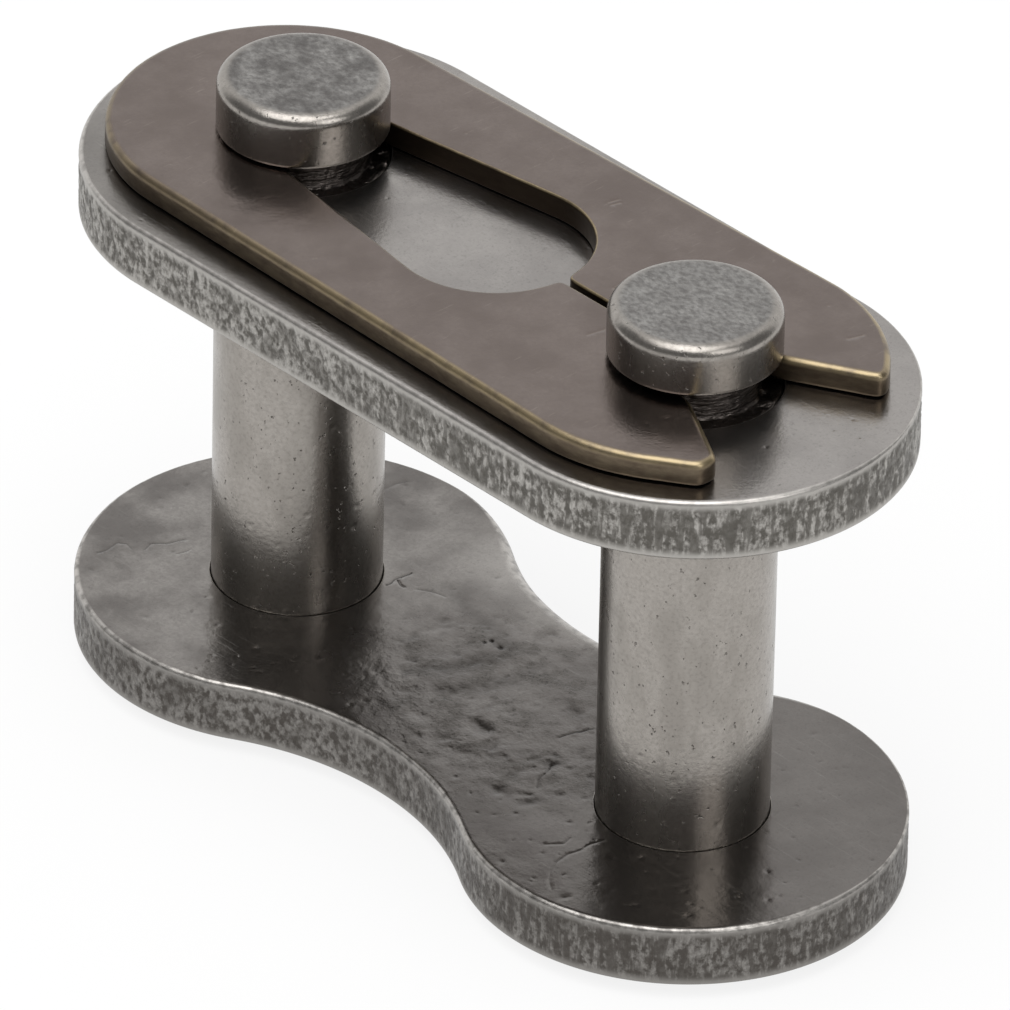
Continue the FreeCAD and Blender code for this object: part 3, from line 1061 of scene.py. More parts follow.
@dataclass
class Shading:
    """A metal's tree while its coats are laid one over another.

    Attributes:
        tree: The material's tree.
        place: Position on the piece itself, in millimetres.
        laid: Outputs of the factors that have been built.
    """

    tree: bpy.types.NodeTree
    place: bpy.types.NodeSocket
    laid: dict[Factor, bpy.types.NodeSocket] = field(default_factory=dict)

    @classmethod
    def begin(cls, material: bpy.types.Material) -> "Shading":
        """Empty a material's tree and measure it in millimetres on the piece."""
        material.use_nodes = True
        tree = material.node_tree
        tree.nodes.clear()
        place = add(tree, "ShaderNodeTexCoord").outputs["Object"]
        scaled = add(tree, "ShaderNodeVectorMath", {0: place, "Scale": 1 / MM}, operation="SCALE")
        return cls(tree, scaled.outputs[0])

    def share(self, factors: Sequence[Factor]) -> Setting:
        """Product of factors.

        Args:
            factors: Numbers, zones of the mesh and patterns; each pattern is built only once.

        Returns:
            A number, or the output that holds the product.
        """
        product: Setting | None = None
        for factor in factors:
            value: Setting | Factor = factor
            if not isinstance(factor, float):
                if factor not in self.laid:
                    self.laid[factor] = factor.lay(self)
                value = self.laid[factor]
            if product is not None:
                both = add(self.tree, "ShaderNodeMath", {0: product, 1: value}, operation="MULTIPLY")
                value = both.outputs[0]
            product = value
        return product

    def coat(self, under: Setting, *coats: tuple[Setting | Factor, ...]) -> bpy.types.NodeSocket:
        """Lay coats of colour, or of roughness, over what is there.

        Args:
            under: Hex colour, number or output that lies under them.
            *coats: For each its hex colour, number or output, and then the factors of its share.

        Returns:
            The colour or number on top.
        """
        for over, *factors in coats:
            numeric = isinstance(over, float)
            first, second, out = (2, 3, 0) if numeric else (6, 7, 2)
            inputs = {0: self.share(factors)}
            for key, value in ((first, under), (second, over)):
                inputs[key] = linear(value) if isinstance(value, str) else value
            mixed = add(self.tree, "ShaderNodeMix", inputs, data_type="FLOAT" if numeric else "RGBA")
            under = mixed.outputs[out]
        return under

    def emboss(self, *reliefs: tuple[Factor, ...]) -> bpy.types.NodeSocket:
        """Lay reliefs that are too fine for the mesh one over another.

        Args:
            *reliefs: For each its full height in millimetres, and then the factors of its share.

        Returns:
            The bent normal.
        """
        normal: bpy.types.NodeSocket | None = None
        for height, *factors in reliefs:
            inputs: dict[str | int, Setting] = {"Height": self.share(factors), "Strength": 1.0}
            inputs["Distance"] = height * MM
            if normal:
                inputs["Normal"] = normal
            normal = add(self.tree, "ShaderNodeBump", inputs).outputs[0]
        return normal

    def finish(
        self, colour: bpy.types.NodeSocket, roughness: bpy.types.NodeSocket, normal: bpy.types.NodeSocket
    ) -> None:
        """Close the material as bare metal."""
        metal = add(
            self.tree,
            "ShaderNodeBsdfPrincipled",
            {"Base Color": colour, "Metallic": 1.0, "Roughness": roughness, "Normal": normal},
        )
        add(self.tree, "ShaderNodeOutputMaterial", {"Surface": metal.outputs[0]})


@dataclass(frozen=True)
class TumbledPlateSteel:
    """Cold rolled carbon steel, stamped and then tumbled.

    The faces keep a satin rolled skin with fine scratches. The cut walls are sheared near the punch
    and torn below it, which leaves bright land between dark upright pits.

    Attributes:
        name: Name of the material.
        face: Colour of the rolled skin.
        cloud: Colour of its duller patches.
        land: Colour of the bright land on the cut walls.
        tear: Colour of the torn pits on the cut walls.
        rim: Colour of the rubbed upper edge, kept light so that it also paints a highlight there.
        pit: Colour at the bottom of marks.
        gloss: Roughness of the faces.
        wall_gloss: Roughness of the cut walls.
        drift: Share of the duller colour that the faces gain toward the open end.
        near_side_shade: Share of painted shade on the faces' near side toward the closed end, beside the
            clip.
        wear_and_glare: Share of the rim colour painted as glare along the far side of the waist.
    """

    name: str
    face: str
    cloud: str
    land: str
    tear: str
    rim: str = "#C4C0BB"
    pit: str = "#2B2826"
    gloss: float = 0.2
    wall_gloss: float = 0.42
    drift: float = 0.4
    near_side_shade: float = 0.0
    wear_and_glare: float = 0.0

    def material(self) -> bpy.types.Material:
        """Build the finish."""
        material = bpy.data.materials.new(self.name)
        shading = Shading.begin(material)
        clouds = Grain((2.2, 2.2, 2.2), 0.38, 0.64, detail=5.0, seed=3.0)
        fine = Grain((0.09, 0.09, 0.09), 0.3, 0.7, detail=2.0, seed=7.0)
        # Scratches of tumbling are finer than 0.01 mm. They are drawn wider so that they show.
        scratches = Grain((1.4, 0.035, 0.5), 0.6, 0.72, detail=2.0, seed=11.0, turn=90.0)
        stains = (Zone.HAMMERED, Grain((0.9, 0.8, 0.9), 0.44, 0.64, detail=8.0, seed=27.0))
        specks = Grain((0.06, 0.06, 0.06), 0.54, 0.68, detail=2.0, seed=29.0)
        face = shading.coat(
            self.face,
            (self.cloud, clouds),
            (self.cloud, fine, 0.35),
            (self.cloud, Fade("X", -9.0, 5.0), self.drift),
            # Painted shade: the torn-pit colour darkens the near side toward the closed end, beside the
            # clip's near wall.
            (self.tear, Fade("Y", 0.0, -3.5), Fade("X", 1.0, -6.0), self.near_side_shade),
            # Painted highlight: the rim colour lightens the far side of the waist, as glare.
            (self.rim, Fade("X", 3.0, 0.5), Fade("X", -5.0, -3.0), Fade("Y", 2.0, 3.8), self.wear_and_glare),
            (self.land, scratches, 0.25),
            (self.tear, *stains, 0.75),
            (self.pit, Between(0.15, 0.7, stains), specks),
        )
        streaks = Grain((0.16, 0.16, 0.9), 0.46, 0.58, detail=2.0, seed=22.0)
        wall = shading.coat(
            self.land,
            (self.tear, TORN),
            (self.tear, streaks, Fade("X", -3.0, 6.0), 0.8),
            (self.tear, Grain((0.07, 0.07, 0.1), 0.4, 0.62, detail=2.0, seed=25.0), 0.35),
            (self.tear, Grain((0.8, 0.8, 1.0), 0.5, 0.62, detail=3.0, seed=23.0), 0.5),
        )
        colour = shading.coat(
            face,
            (self.land, Zone.WALL),
            (wall, Zone.SHEAR),
            # Rubbed edge and painted highlight: the light rim colour, broken by the grain into painted
            # glints.
            (self.rim, Zone.RIM, Grain((0.25, 0.25, 0.25), 0.35, 0.6, detail=3.0, seed=35.0)),
            (self.pit, Zone.MARK, 0.8),
        )
        roughness = shading.coat(
            self.gloss,
            (self.gloss + 0.07, clouds),
            (self.gloss + 0.12, Zone.HAMMERED),
            (self.wall_gloss, Zone.WALL),
        )
        normal = shading.emboss(
            (0.0012, fine),
            (0.001, scratches),
            (0.012, Zone.SHEAR, Grain((0.06, 0.06, 0.14), 0.3, 0.7, seed=31.0)),
            (0.007, Zone.HAMMERED, Grain((0.16, 0.16, 0.16), 0.3, 0.7, detail=4.0, seed=33.0)),
        )
        shading.finish(colour, roughness, normal)
        return material


@dataclass(frozen=True)
class GroundPinSteel:
    """Hardened alloy steel, centreless ground and tumbled.

    The shank is a soft mirror with fine pits, the sheared end is matt and speckled, and the turned
    groove holds black oil.

    Attributes:
        name: Name of the material.
        shank: Colour of the ground surface.
        shade: Colour of its duller patches.
        pit: Colour of the pits.
        crown: Colour of the sheared end.
        crown_dark: Colour of the specks on the sheared end.
        groove: Colour of the oiled groove.
        gloss: Roughness of the shank.
        crown_gloss: Roughness of the sheared end.
        groove_gloss: Roughness of the groove.
    """

    name: str = "ground_pin_steel"
    shank: str = "#A6A19B"
    shade: str = "#96918B"
    pit: str = "#4C4845"
    crown: str = "#9A9895"
    crown_dark: str = "#585553"
    groove: str = "#5F5955"
    gloss: float = 0.25
    crown_gloss: float = 0.42
    groove_gloss: float = 0.3

    def material(self) -> bpy.types.Material:
        """Build the finish."""
        material = bpy.data.materials.new(self.name)
        shading = Shading.begin(material)
        clouds = Grain((1.1, 1.1, 2.4), 0.4, 0.65, detail=4.0, seed=2.0)
        fine = Grain((0.1, 0.1, 0.1), 0.3, 0.7, detail=2.0, seed=5.0)
        pits = Grain((0.13, 0.13, 0.16), 0.645, 0.73, detail=2.0, seed=9.0)
        shank = shading.coat(
            self.shank,
            (self.shade, clouds),
            (self.shade, fine, 0.6),
            (self.pit, Grain((0.09, 0.09, 0.09), 0.45, 0.7, detail=3.0, seed=14.0), 0.2),
            (self.pit, pits, 0.55),
        )
        crown_patches = Grain((0.6, 0.6, 0.6), 0.34, 0.66, detail=6.0, seed=15.0)
        specks = Grain((0.17, 0.11, 0.17), 0.34, 0.68, detail=6.0, seed=13.0, turn=35.0)
        # The closed end's pin gets more of the dark patches than the open end's.
        crown = shading.coat(
            self.crown,
            (self.crown_dark, crown_patches, Between(0.8, 0.3, (Fade("X", -3.0, 3.0),))),
            (self.crown_dark, specks, 0.7),
        )
        colour = shading.coat(shank, (crown, Zone.CROWN), (self.groove, Zone.GROOVE))
        roughness = shading.coat(
            self.gloss,
            (self.gloss + 0.06, clouds),
            (self.crown_gloss, Zone.CROWN),
            (self.groove_gloss, Zone.GROOVE),
        )
        normal = shading.emboss(
            (0.001, fine),
            (0.001, Grain((0.35, 0.35, 0.45), 0.3, 0.7, detail=3.0, seed=10.0)),
            (0.01, pits, -1.0),
            (0.016, Zone.CROWN, Grain((0.14, 0.14, 0.14), 0.3, 0.7, seed=17.0)),
            (0.02, Zone.GROOVE, Grain((0.5, 0.5, 0.06), 0.35, 0.65, seed=19.0)),
        )
        shading.finish(colour, roughness, normal)
        return material


@dataclass(frozen=True)
class OiledSpringSteel:
    """Tempered spring strip, blanked, tumbled and oiled.

    The strip's faces are a dark bronze grey mirror, and the cut walls and rubbed edges show the
    straw colour that tempering leaves; the rubbed edges also carry a painted highlight.

    Attributes:
        name: Name of the material.
        face: Colour of the strip's faces.
        cloud: Colour of their duller patches.
        edge: Colour of the cut walls and rubbed edges.
        edge_dark: Colour of the darker streaks on them.
        painted_wall_shade: Colour of painted shade on the walls round the window and at the closed end.
        rim: Colour of the rubbed upper edge, light enough to paint a golden highlight there.
        scratch: Colour of scratches.
        gloss: Roughness of the faces.
        wall_gloss: Roughness of the cut walls.
    """

    name: str = "oiled_spring_steel"
    face: str = "#7A706B"
    cloud: str = "#6D635E"
    edge: str = "#7C705E"
    edge_dark: str = "#665A4D"
    painted_wall_shade: str = "#3E342C"
    rim: str = "#A89878"
    scratch: str = "#B5ABA0"
    gloss: float = 0.2
    wall_gloss: float = 0.4

    def material(self) -> bpy.types.Material:
        """Build the finish."""
        material = bpy.data.materials.new(self.name)
        shading = Shading.begin(material)
        clouds = Grain((1.8, 1.8, 1.8), 0.36, 0.66, detail=5.0, seed=4.0)
        fine = Grain((0.09, 0.09, 0.09), 0.3, 0.7, detail=2.0, seed=6.0)
        # Hairline scratches are finer than 0.01 mm. They are drawn wider so that they show.
        hairs = Grain((0.03, 0.7, 0.5), 0.69, 0.76, detail=1.0, seed=8.0, turn=20.0)
        face = shading.coat(
            self.face,
            (self.cloud, clouds),
            (self.cloud, fine, 0.35),
            (self.scratch, hairs, 0.2),
        )
        # Painted shade: the walls round the window and at the closed end are darkened.
        window = (Fade("Y", -3.5, -2.8), Fade("Y", 3.5, 2.8), Fade("X", 6.0, 5.0))
        edge = shading.coat(
            self.edge,
            (self.edge_dark, Grain((0.5, 0.5, 0.2), 0.3, 0.7, detail=3.0, seed=10.0)),
            (self.painted_wall_shade, *window, 0.85),
            (self.painted_wall_shade, Fade("X", -4.0, -8.0), 0.5),
        )
        # Painted highlight on the rubbed rim: broken into painted glints and brighter toward the open end.
        glints = Grain((0.5, 0.5, 0.5), 0.2, 0.6, detail=3.0, seed=12.0)
        colour = shading.coat(
            face,
            (edge, Zone.WALL),
            (self.rim, Zone.RIM, glints, Between(0.45, 1.0, (Fade("X", -7.0, 3.0),))),
            (self.scratch, Zone.MARK, 0.7),
        )
        roughness = shading.coat(self.gloss, (self.gloss + 0.06, clouds), (self.wall_gloss, Zone.WALL))
        normal = shading.emboss((0.0012, fine), (0.001, hairs))
        shading.finish(colour, roughness, normal)
        return material


# Pieces


def place_piece(mesh: bpy.types.Mesh, name: str) -> bpy.types.Object:
    """Put a mesh in the scene as an object at the origin."""
    piece = bpy.data.objects.new(name, mesh)
    bpy.context.scene.collection.objects.link(piece)
    return piece


def stand_for(piece: bpy.types.Object, part: Part, body: Body) -> None:
    """Let a piece stand for its CAD node and move with its body.

    Args:
        piece: The dressed piece.
        part: The node that it replaces.
        body: The body that carries it.
    """
    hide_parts(part.value)
    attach(piece, body.value)
    count = sum(len(polygon.vertices) - 2 for polygon in piece.data.polygons)
    LOG.info("%s rides on %s, %d triangles", piece.name, body.value, count)


def worn_round(points: np.ndarray, sharp: float, wear_and_glare: float) -> np.ndarray:
    """Edge radius along an outline: worn on the near side, nearly sharp on the far one.

    Args:
        points: Points of the outline.
        sharp: Radius where the punch's burr is left.
        wear_and_glare: Radius where tumbling wore it off.

    Returns:
        One radius for each point.
    """
    slant, far, near = 0.12, -1.5, 2.5
    toward = slant * points[:, 0] - points[:, 1]
    return sharp + (wear_and_glare - sharp) * smoothstep(far, near, toward)


@dataclass
class BasePlate:
    """Waisted plate that carries both pins.

    Attributes:
        finish: Finish of the whole plate.
        end_radius: Radius of its round ends.
        waist: Half its width at the waist.
        bore: Radius of its bores, just clear of the pins to show a dark line.
        bore_edge: Radius of the bores' edges.
        upper_edge: Radius of its upper edge where that is sharp and where it is worn.
        rolled_edge: What its upper edge's radius gains at the back of the waist.
        lower_edge: Radius of its lower edge.
        wall_step: Spacing of the rows on its walls.
        top_step: Spacing of the points on its upper face.
        marks: Marks in its upper face.
        bruises: Places where blows have roughened it.
        pits: Small pits all over it.
        beaten: Centre and half lengths of its roughened middle.
        relief: Grain of its surfaces.
    """

    finish: TumbledPlateSteel
    end_radius: float = 5.049
    waist: float = 3.30
    bore: float = 1.968
    bore_edge: float = 0.025
    upper_edge: tuple[float, float] = (0.06, 0.13)
    rolled_edge: float = 0.4
    lower_edge: float = 0.12
    wall_step: float = 0.06
    top_step: float = 0.08
    marks: tuple[Mark, ...] = (
        Crack(
            ((-9.84, -2.96), (-9.78, -2.74), (-9.85, -2.32), (-9.68, -2.19), (-9.47, -2.24)), 0.05, 0.02, 0.6
        ),
        Crack(
            ((-9.23, -2.04), (-9.32, -1.78), (-9.18, -1.59), (-9.06, -1.49), (-8.95, -1.1)), 0.05, 0.02, 0.7
        ),
        Crack(((-8.6, -1.62), (-8.54, -1.33)), 0.05, 0.02, 0.7),
        Crack(((-4.62, 0.7), (-4.49, 1.17), (-4.56, 1.35), (-4.5, 1.81)), 0.06, 0.035),
        Crack(((-4.49, 1.39), (-4.3, 1.3), (-4.18, 1.31)), 0.06, 0.035),
        Crack(((-7.52, 3.62), (-7.49, 4.11), (-7.39, 4.34)), 0.12, 0.025, 0.4),
        Crack(((-3.91, 1.48), (-3.6, 1.66), (-3.29, 1.75)), 0.05, 0.015),
        Crack(((6.22, -3.7), (6.16, -3.3), (6.24, -2.99), (6.2, -2.7), (6.28, -2.35)), 0.05, 0.01, 1.5),
        Crack(((6.9, -4.5), (6.62, -4.3), (6.45, -4.1), (6.22, -3.7)), 0.04, 0.006),
        Crack(((5.55, -3.4), (5.8, -3.1), (5.72, -2.8)), 0.05, 0.01),
        Crack(((2.6, -0.21), (2.68, 0.2), (2.82, 0.58)), 0.05, 0.025),
        Crack(((3.72, -1.95), (3.5, -1.7), (3.42, -1.35), (3.26, -1.1)), 0.09, 0.03, 0.5),
        Ripple(((-3.49, 2.08), (-2.52, 1.75), (-1.83, 1.68), (-1.01, 1.47)), 0.4, 0.014, stain=0.6),
        Ripple(
            ((-1.6, -0.9), (-1.1, -0.3), (-0.86, 0.3), (-0.73, 0.94), (-0.7, 1.5)), 0.4, 0.016, stain=0.6
        ),
        Ripple(((-0.53, -0.94), (-0.04, -0.27), (0.19, 0.57), (0.2, 1.4)), 0.36, 0.012, stain=0.7),
        Dent(-1.75, 0.45, 0.8, 0.55, turn=75.0, depth=0.03, steep=2.0),
        Dent(-1.32, 1.13, 0.1, 0.08, depth=0.04, stain=1.0),
        Dent(-1.28, 1.31, 0.09, 0.07, depth=0.04, stain=1.0),
        Dent(-0.94, 1.27, 0.13, 0.1, depth=0.05, stain=1.0),
        Dent(3.26, -1.04, 0.42, 0.26, turn=40.0, depth=0.03, steep=0.8, stain=0.8),
        Dent(3.1, -0.8, 0.2, 0.12, turn=10.0, depth=0.02, stain=0.9),
        Dent(4.05, -2.53, 0.5, 0.26, turn=65.0, depth=0.028, steep=0.8, stain=0.8),
        Dent(1.2, -1.3, 0.5, 0.35, turn=30.0, depth=0.03, stain=0.2),
        Dent(2.2, 0.9, 0.6, 0.3, turn=80.0, depth=0.025),
        Dent(0.9, -2.2, 0.45, 0.25, turn=60.0, depth=0.03, stain=0.2),
        Dent(2.9, 1.9, 0.5, 0.4, turn=10.0, depth=0.02),
    )
    bruises: tuple[Bruise, ...] = (
        Bruise(-1.75, 0.45, 1.15, 0.8, 75.0, count=34, depth=0.022, seed=71),
        Bruise(-1.3, 0.3, 2.0, 1.3, 80.0, count=40, depth=0.016, seed=72),
        Bruise(2.0, -0.6, 1.6, 1.2, 30.0, count=46, depth=0.018, seed=73),
        Bruise(3.7, -1.7, 1.1, 0.5, 60.0, count=34, depth=0.018, seed=74),
        Bruise(0.8, -1.9, 1.2, 0.6, 20.0, count=26, depth=0.016, seed=75),
    )
    pits: Scatter = Scatter(420, 0.03, 0.1, depth=0.022, seed=41, low=(-11.4, -5.05), high=(11.4, 5.05))
    beaten: tuple[float, float, float, float] = (1.2, -0.2, 4.6, 3.4)
    relief: tuple[Relief, ...] = (
        Relief(Zone.SHEAR, TORN, 0.02),
        Relief(Zone.HAMMERED, Grain((1.0, 0.9, 1.0), 0.3, 0.72, detail=1.0, seed=3.5), 0.03),
        Relief(Zone.HAMMERED, Grain((0.34, 0.34, 0.34), 0.35, 0.7, detail=2.0, seed=4.5), 0.011),
        Relief(Zone.FACE, Grain((0.8, 0.8, 0.8), 0.35, 0.7, detail=3.0, seed=5.5), 0.008),
    )

    def outline(self) -> Loop:
        """Two round ends that run into each other through the waist."""
        bend = (HALF_PITCH**2 + self.waist**2 - self.end_radius**2) / (2 * (self.end_radius - self.waist))
        rise = self.waist + bend
        lean = math.atan2(rise, HALF_PITCH)
        parts = (
            Arc(HALF_PITCH, 0, self.end_radius, lean - math.pi, math.pi - lean),
            Arc(0, rise, bend, -lean, lean - math.pi),
            Arc(-HALF_PITCH, 0, self.end_radius, lean, 2 * math.pi - lean),
            Arc(0, -rise, bend, math.pi - lean, lean),
        )
        points = Loop.trace(parts, 0)
        rolled = smoothstep(0.5, 3.0, points[:, 1]) * smoothstep(6.5, 2.5, np.abs(points[:, 0]))
        upper = worn_round(points, *self.upper_edge) + self.rolled_edge * rolled
        return Loop(points, upper, np.full(len(points), self.lower_edge))

    def build(self, tree: bpy.types.NodeTree) -> bpy.types.Object:
        """Model, grain and dress the plate.

        Args:
            tree: The surface_relief tree.

        Returns:
            The finished plate.
        """
        bottom, top = heights(Part.BASE)
        blows = [dent for bruise in self.bruises for dent in bruise.marks()]
        stamping = Stamping(
            [self.outline(), *bores(self.bore, self.bore_edge)],
            bottom,
            top,
            wall_step=self.wall_step,
            top_step=self.top_step,
            marks=(*self.marks, *blows, *self.pits.marks()),
            beaten=self.beaten,
        )
        piece = place_piece(stamping.mesh("stamped_base_plate"), "stamped_base_plate")
        material = self.finish.material()
        for relief in self.relief:
            relief.press(piece, tree, material)
        stand_for(piece, Part.BASE, Body.PIN_PLATE)
        return piece


def bores(radius: float, edge: float) -> list[Loop]:
    """Round holes one pitch apart.

    Args:
        radius: Radius of each hole.
        edge: Radius of their rounded edges.

    Returns:
        One loop for each hole.
    """
    loops = []
    for side in (-1, 1):
        points = Loop.trace((Arc(side * HALF_PITCH, 0, radius, 2 * math.pi, 0),), 0)
        loops.append(Loop(points, np.full(len(points), edge), np.full(len(points), edge)))
    return loops


@dataclass
class CoverPlate:
    """Obround plate that slips over both pins.

    Attributes:
        finish: Finish of the whole plate.
        end_radius: Radius of its round ends.
        bore: Radius of its bores.
        bore_edge: Radius of the bores' edges.
        upper_edge: Radius of its upper edge where that is sharp and where it is worn.
        lower_edge: Radius of its lower edge.
        pits: Small pits all over it.
        relief: Grain of its surfaces.
    """

    finish: TumbledPlateSteel
    end_radius: float = 5.0
    bore: float = 2.0
    bore_edge: float = 0.025
    upper_edge: tuple[float, float] = (0.05, 0.12)
    lower_edge: float = 0.12
    pits: Scatter = Scatter(120, 0.02, 0.06, depth=0.015, seed=43, low=(-11.35, -5.0), high=(11.35, 5.0))
    relief: tuple[Relief, ...] = (
        Relief(Zone.SHEAR, TORN, 0.025),
        Relief(Zone.FACE, Grain((1.2, 1.2, 1.2), 0.35, 0.7, detail=1.0, seed=5.5), 0.004),
    )

    def outline(self) -> Loop:
        """Two round ends joined by straight sides."""
        quarter = math.pi / 2
        parts = (
            Arc(HALF_PITCH, 0, self.end_radius, -quarter, quarter),
            Arc(-HALF_PITCH, 0, self.end_radius, quarter, 3 * quarter),
        )
        points = Loop.trace(parts, 0)
        return Loop(points, worn_round(points, *self.upper_edge), np.full(len(points), self.lower_edge))

    def build(self, tree: bpy.types.NodeTree) -> bpy.types.Object:
        """Model, grain and dress the plate.

        Args:
            tree: The surface_relief tree.

        Returns:
            The finished plate.
        """
        bottom, top = heights(Part.COVER)
        loops = [self.outline(), *bores(self.bore, self.bore_edge)]
        stamping = Stamping(loops, bottom, top, marks=self.pits.marks())
        piece = place_piece(stamping.mesh("stamped_cover_plate"), "stamped_cover_plate")
        material = self.finish.material()
        for relief in self.relief:
            relief.press(piece, tree, material)
        stand_for(piece, Part.COVER, Body.COVER)
        return piece


@dataclass
class GroovedPin:
    """Pin with a riveted foot, a plain shank, a groove for the clip and a rounded head.

    Attributes:
        part: The node that it replaces.
        name: Name of the piece.
        side: -1 at the closed end and 1 at the open end.
        radius: Radius of shank and head.
        neck: Radius in the groove.
        groove: Lowest and highest level of the groove.
        head_round: Radius of the head's edge.
        foot: Radius of the riveted foot, and of its flat.
        foot_height: How far the foot stands below the plate.
        edge: Size of the bevels at the groove.
        segments: Facets round the pin.
        step: Widest gap between points along the pin.
        relief: Grain of its surfaces.
    """

    part: Part
    name: str
    side: int
    radius: float = 1.95
    neck: float = 1.5
    groove: tuple[float, float] = (12.90, 13.77)
    head_round: float = 0.3
    foot: tuple[float, float] = (2.15, 1.55)
    foot_height: float = 0.35
    edge: float = 0.04
    segments: int = 204
    step: float = 0.06
    relief: tuple[Relief, ...] = (
        Relief(Zone.CROWN, Grain((0.4, 0.4, 0.4), 0.3, 0.7, detail=3.0, seed=51.0), 0.012),
        Relief(Zone.GROOVE, Grain((0.35, 0.35, 0.1), 0.4, 0.65, detail=3.0, seed=53.0), 0.05),
        Relief(Zone.SHANK, Grain((0.14, 0.14, 0.2), 0.66, 0.76, detail=1.0, seed=55.0), 0.015),
    )

    def profile(self) -> tuple[np.ndarray, dict[Zone, np.ndarray]]:
        """Half section of the pin from the middle of its foot to the middle of its head.

        Returns:
            Radius and level of each point, and how far it belongs to each zone.
        """
        _, top = heights(self.part)
        full, flat = self.foot
        round_radius = ((full - flat) ** 2 + self.foot_height**2) / (2 * self.foot_height)
        turn = math.asin((full - flat) / round_radius)
        low, high = self.groove
        edge, rim = self.edge, self.head_round
        foot = [
            (flat + round_radius * math.sin(a), round_radius * (1 - math.cos(a)))
            for a in np.linspace(0, turn, 8)
        ]
        head = [
            (self.radius - rim * (1 - math.cos(a)), top - rim * (1 - math.sin(a)))
            for a in np.linspace(0, math.pi / 2, 9)
        ]
        corners = [
            (0.0, 0.0),
            *foot,
            (self.radius, self.foot_height),
            (self.radius, low - edge),
            (self.radius - edge, low),
            (self.neck + edge, low),
            (self.neck, low + edge),
            (self.neck, high - edge),
            (self.neck + edge, high),
            (self.radius - 1.5 * edge, high),
            (self.radius, high + 1.5 * edge),
            *head,
            (0.0, top),
        ]
        line = refine(np.array(corners), self.step)
        r, z = line[:, 0], line[:, 1]
        turned = (z > low - 0.5 * edge) & (z < high + 0.5 * edge) & (r < self.radius - 0.3 * edge)
        crown_edge = self.radius - rim
        crown = np.where(z > top - 0.05, smoothstep(crown_edge + 0.14, crown_edge - 0.04, r), 0)
        shank = smoothstep(self.radius - 0.02, self.radius - 0.001, r) * (z < low - 0.1)
        return line, {Zone.GROOVE: turned.astype(float), Zone.CROWN: crown, Zone.SHANK: shank}

    def build(
        self, lathe: bpy.types.NodeTree, tree: bpy.types.NodeTree, material: bpy.types.Material
    ) -> bpy.types.Object:
        """Turn, grain and dress the pin.

        Args:
            lathe: The turned_part tree.
            tree: The surface_relief tree.
            material: Material of both pins.

        Returns:
            The finished pin.
        """
        line, zones = self.profile()
        mesh = bpy.data.meshes.new(self.name)
        points = [(r * MM, 0.0, z * MM) for r, z in line.tolist()]
        mesh.from_pydata(points, [(k, k + 1) for k in range(len(points) - 1)], [])
        for zone, values in zones.items():
            layer = mesh.attributes.new(zone.value, "FLOAT", "POINT")
            layer.data.foreach_set("value", values.astype(np.float32))
        piece = place_piece(mesh, self.name)
        settings = {
            "Profile points": len(points),
            "Segments": self.segments,
            "Centre": [self.side * HALF_PITCH * MM, 0.0, 0.0],
            "Material": material,
        }
        run_tree(piece, lathe, settings)
        for relief in self.relief:
            relief.press(piece, tree, material)
        stand_for(piece, self.part, Body.PIN_PLATE)
        return piece


def refine(corners: np.ndarray, step: float) -> np.ndarray:
    """Add points along an open line where its corners lie far apart.

    Args:
        corners: Corners of the line.
        step: Widest gap that is left.

    Returns:
        The corners with the added points between them.
    """
    line = [corners[0]]
    for first, second in zip(corners[:-1], corners[1:]):
        count = max(1, math.ceil(float(np.linalg.norm(second - first)) / step))
        line.extend(first + (second - first) * k / count for k in range(1, count + 1))
    return np.array(line)


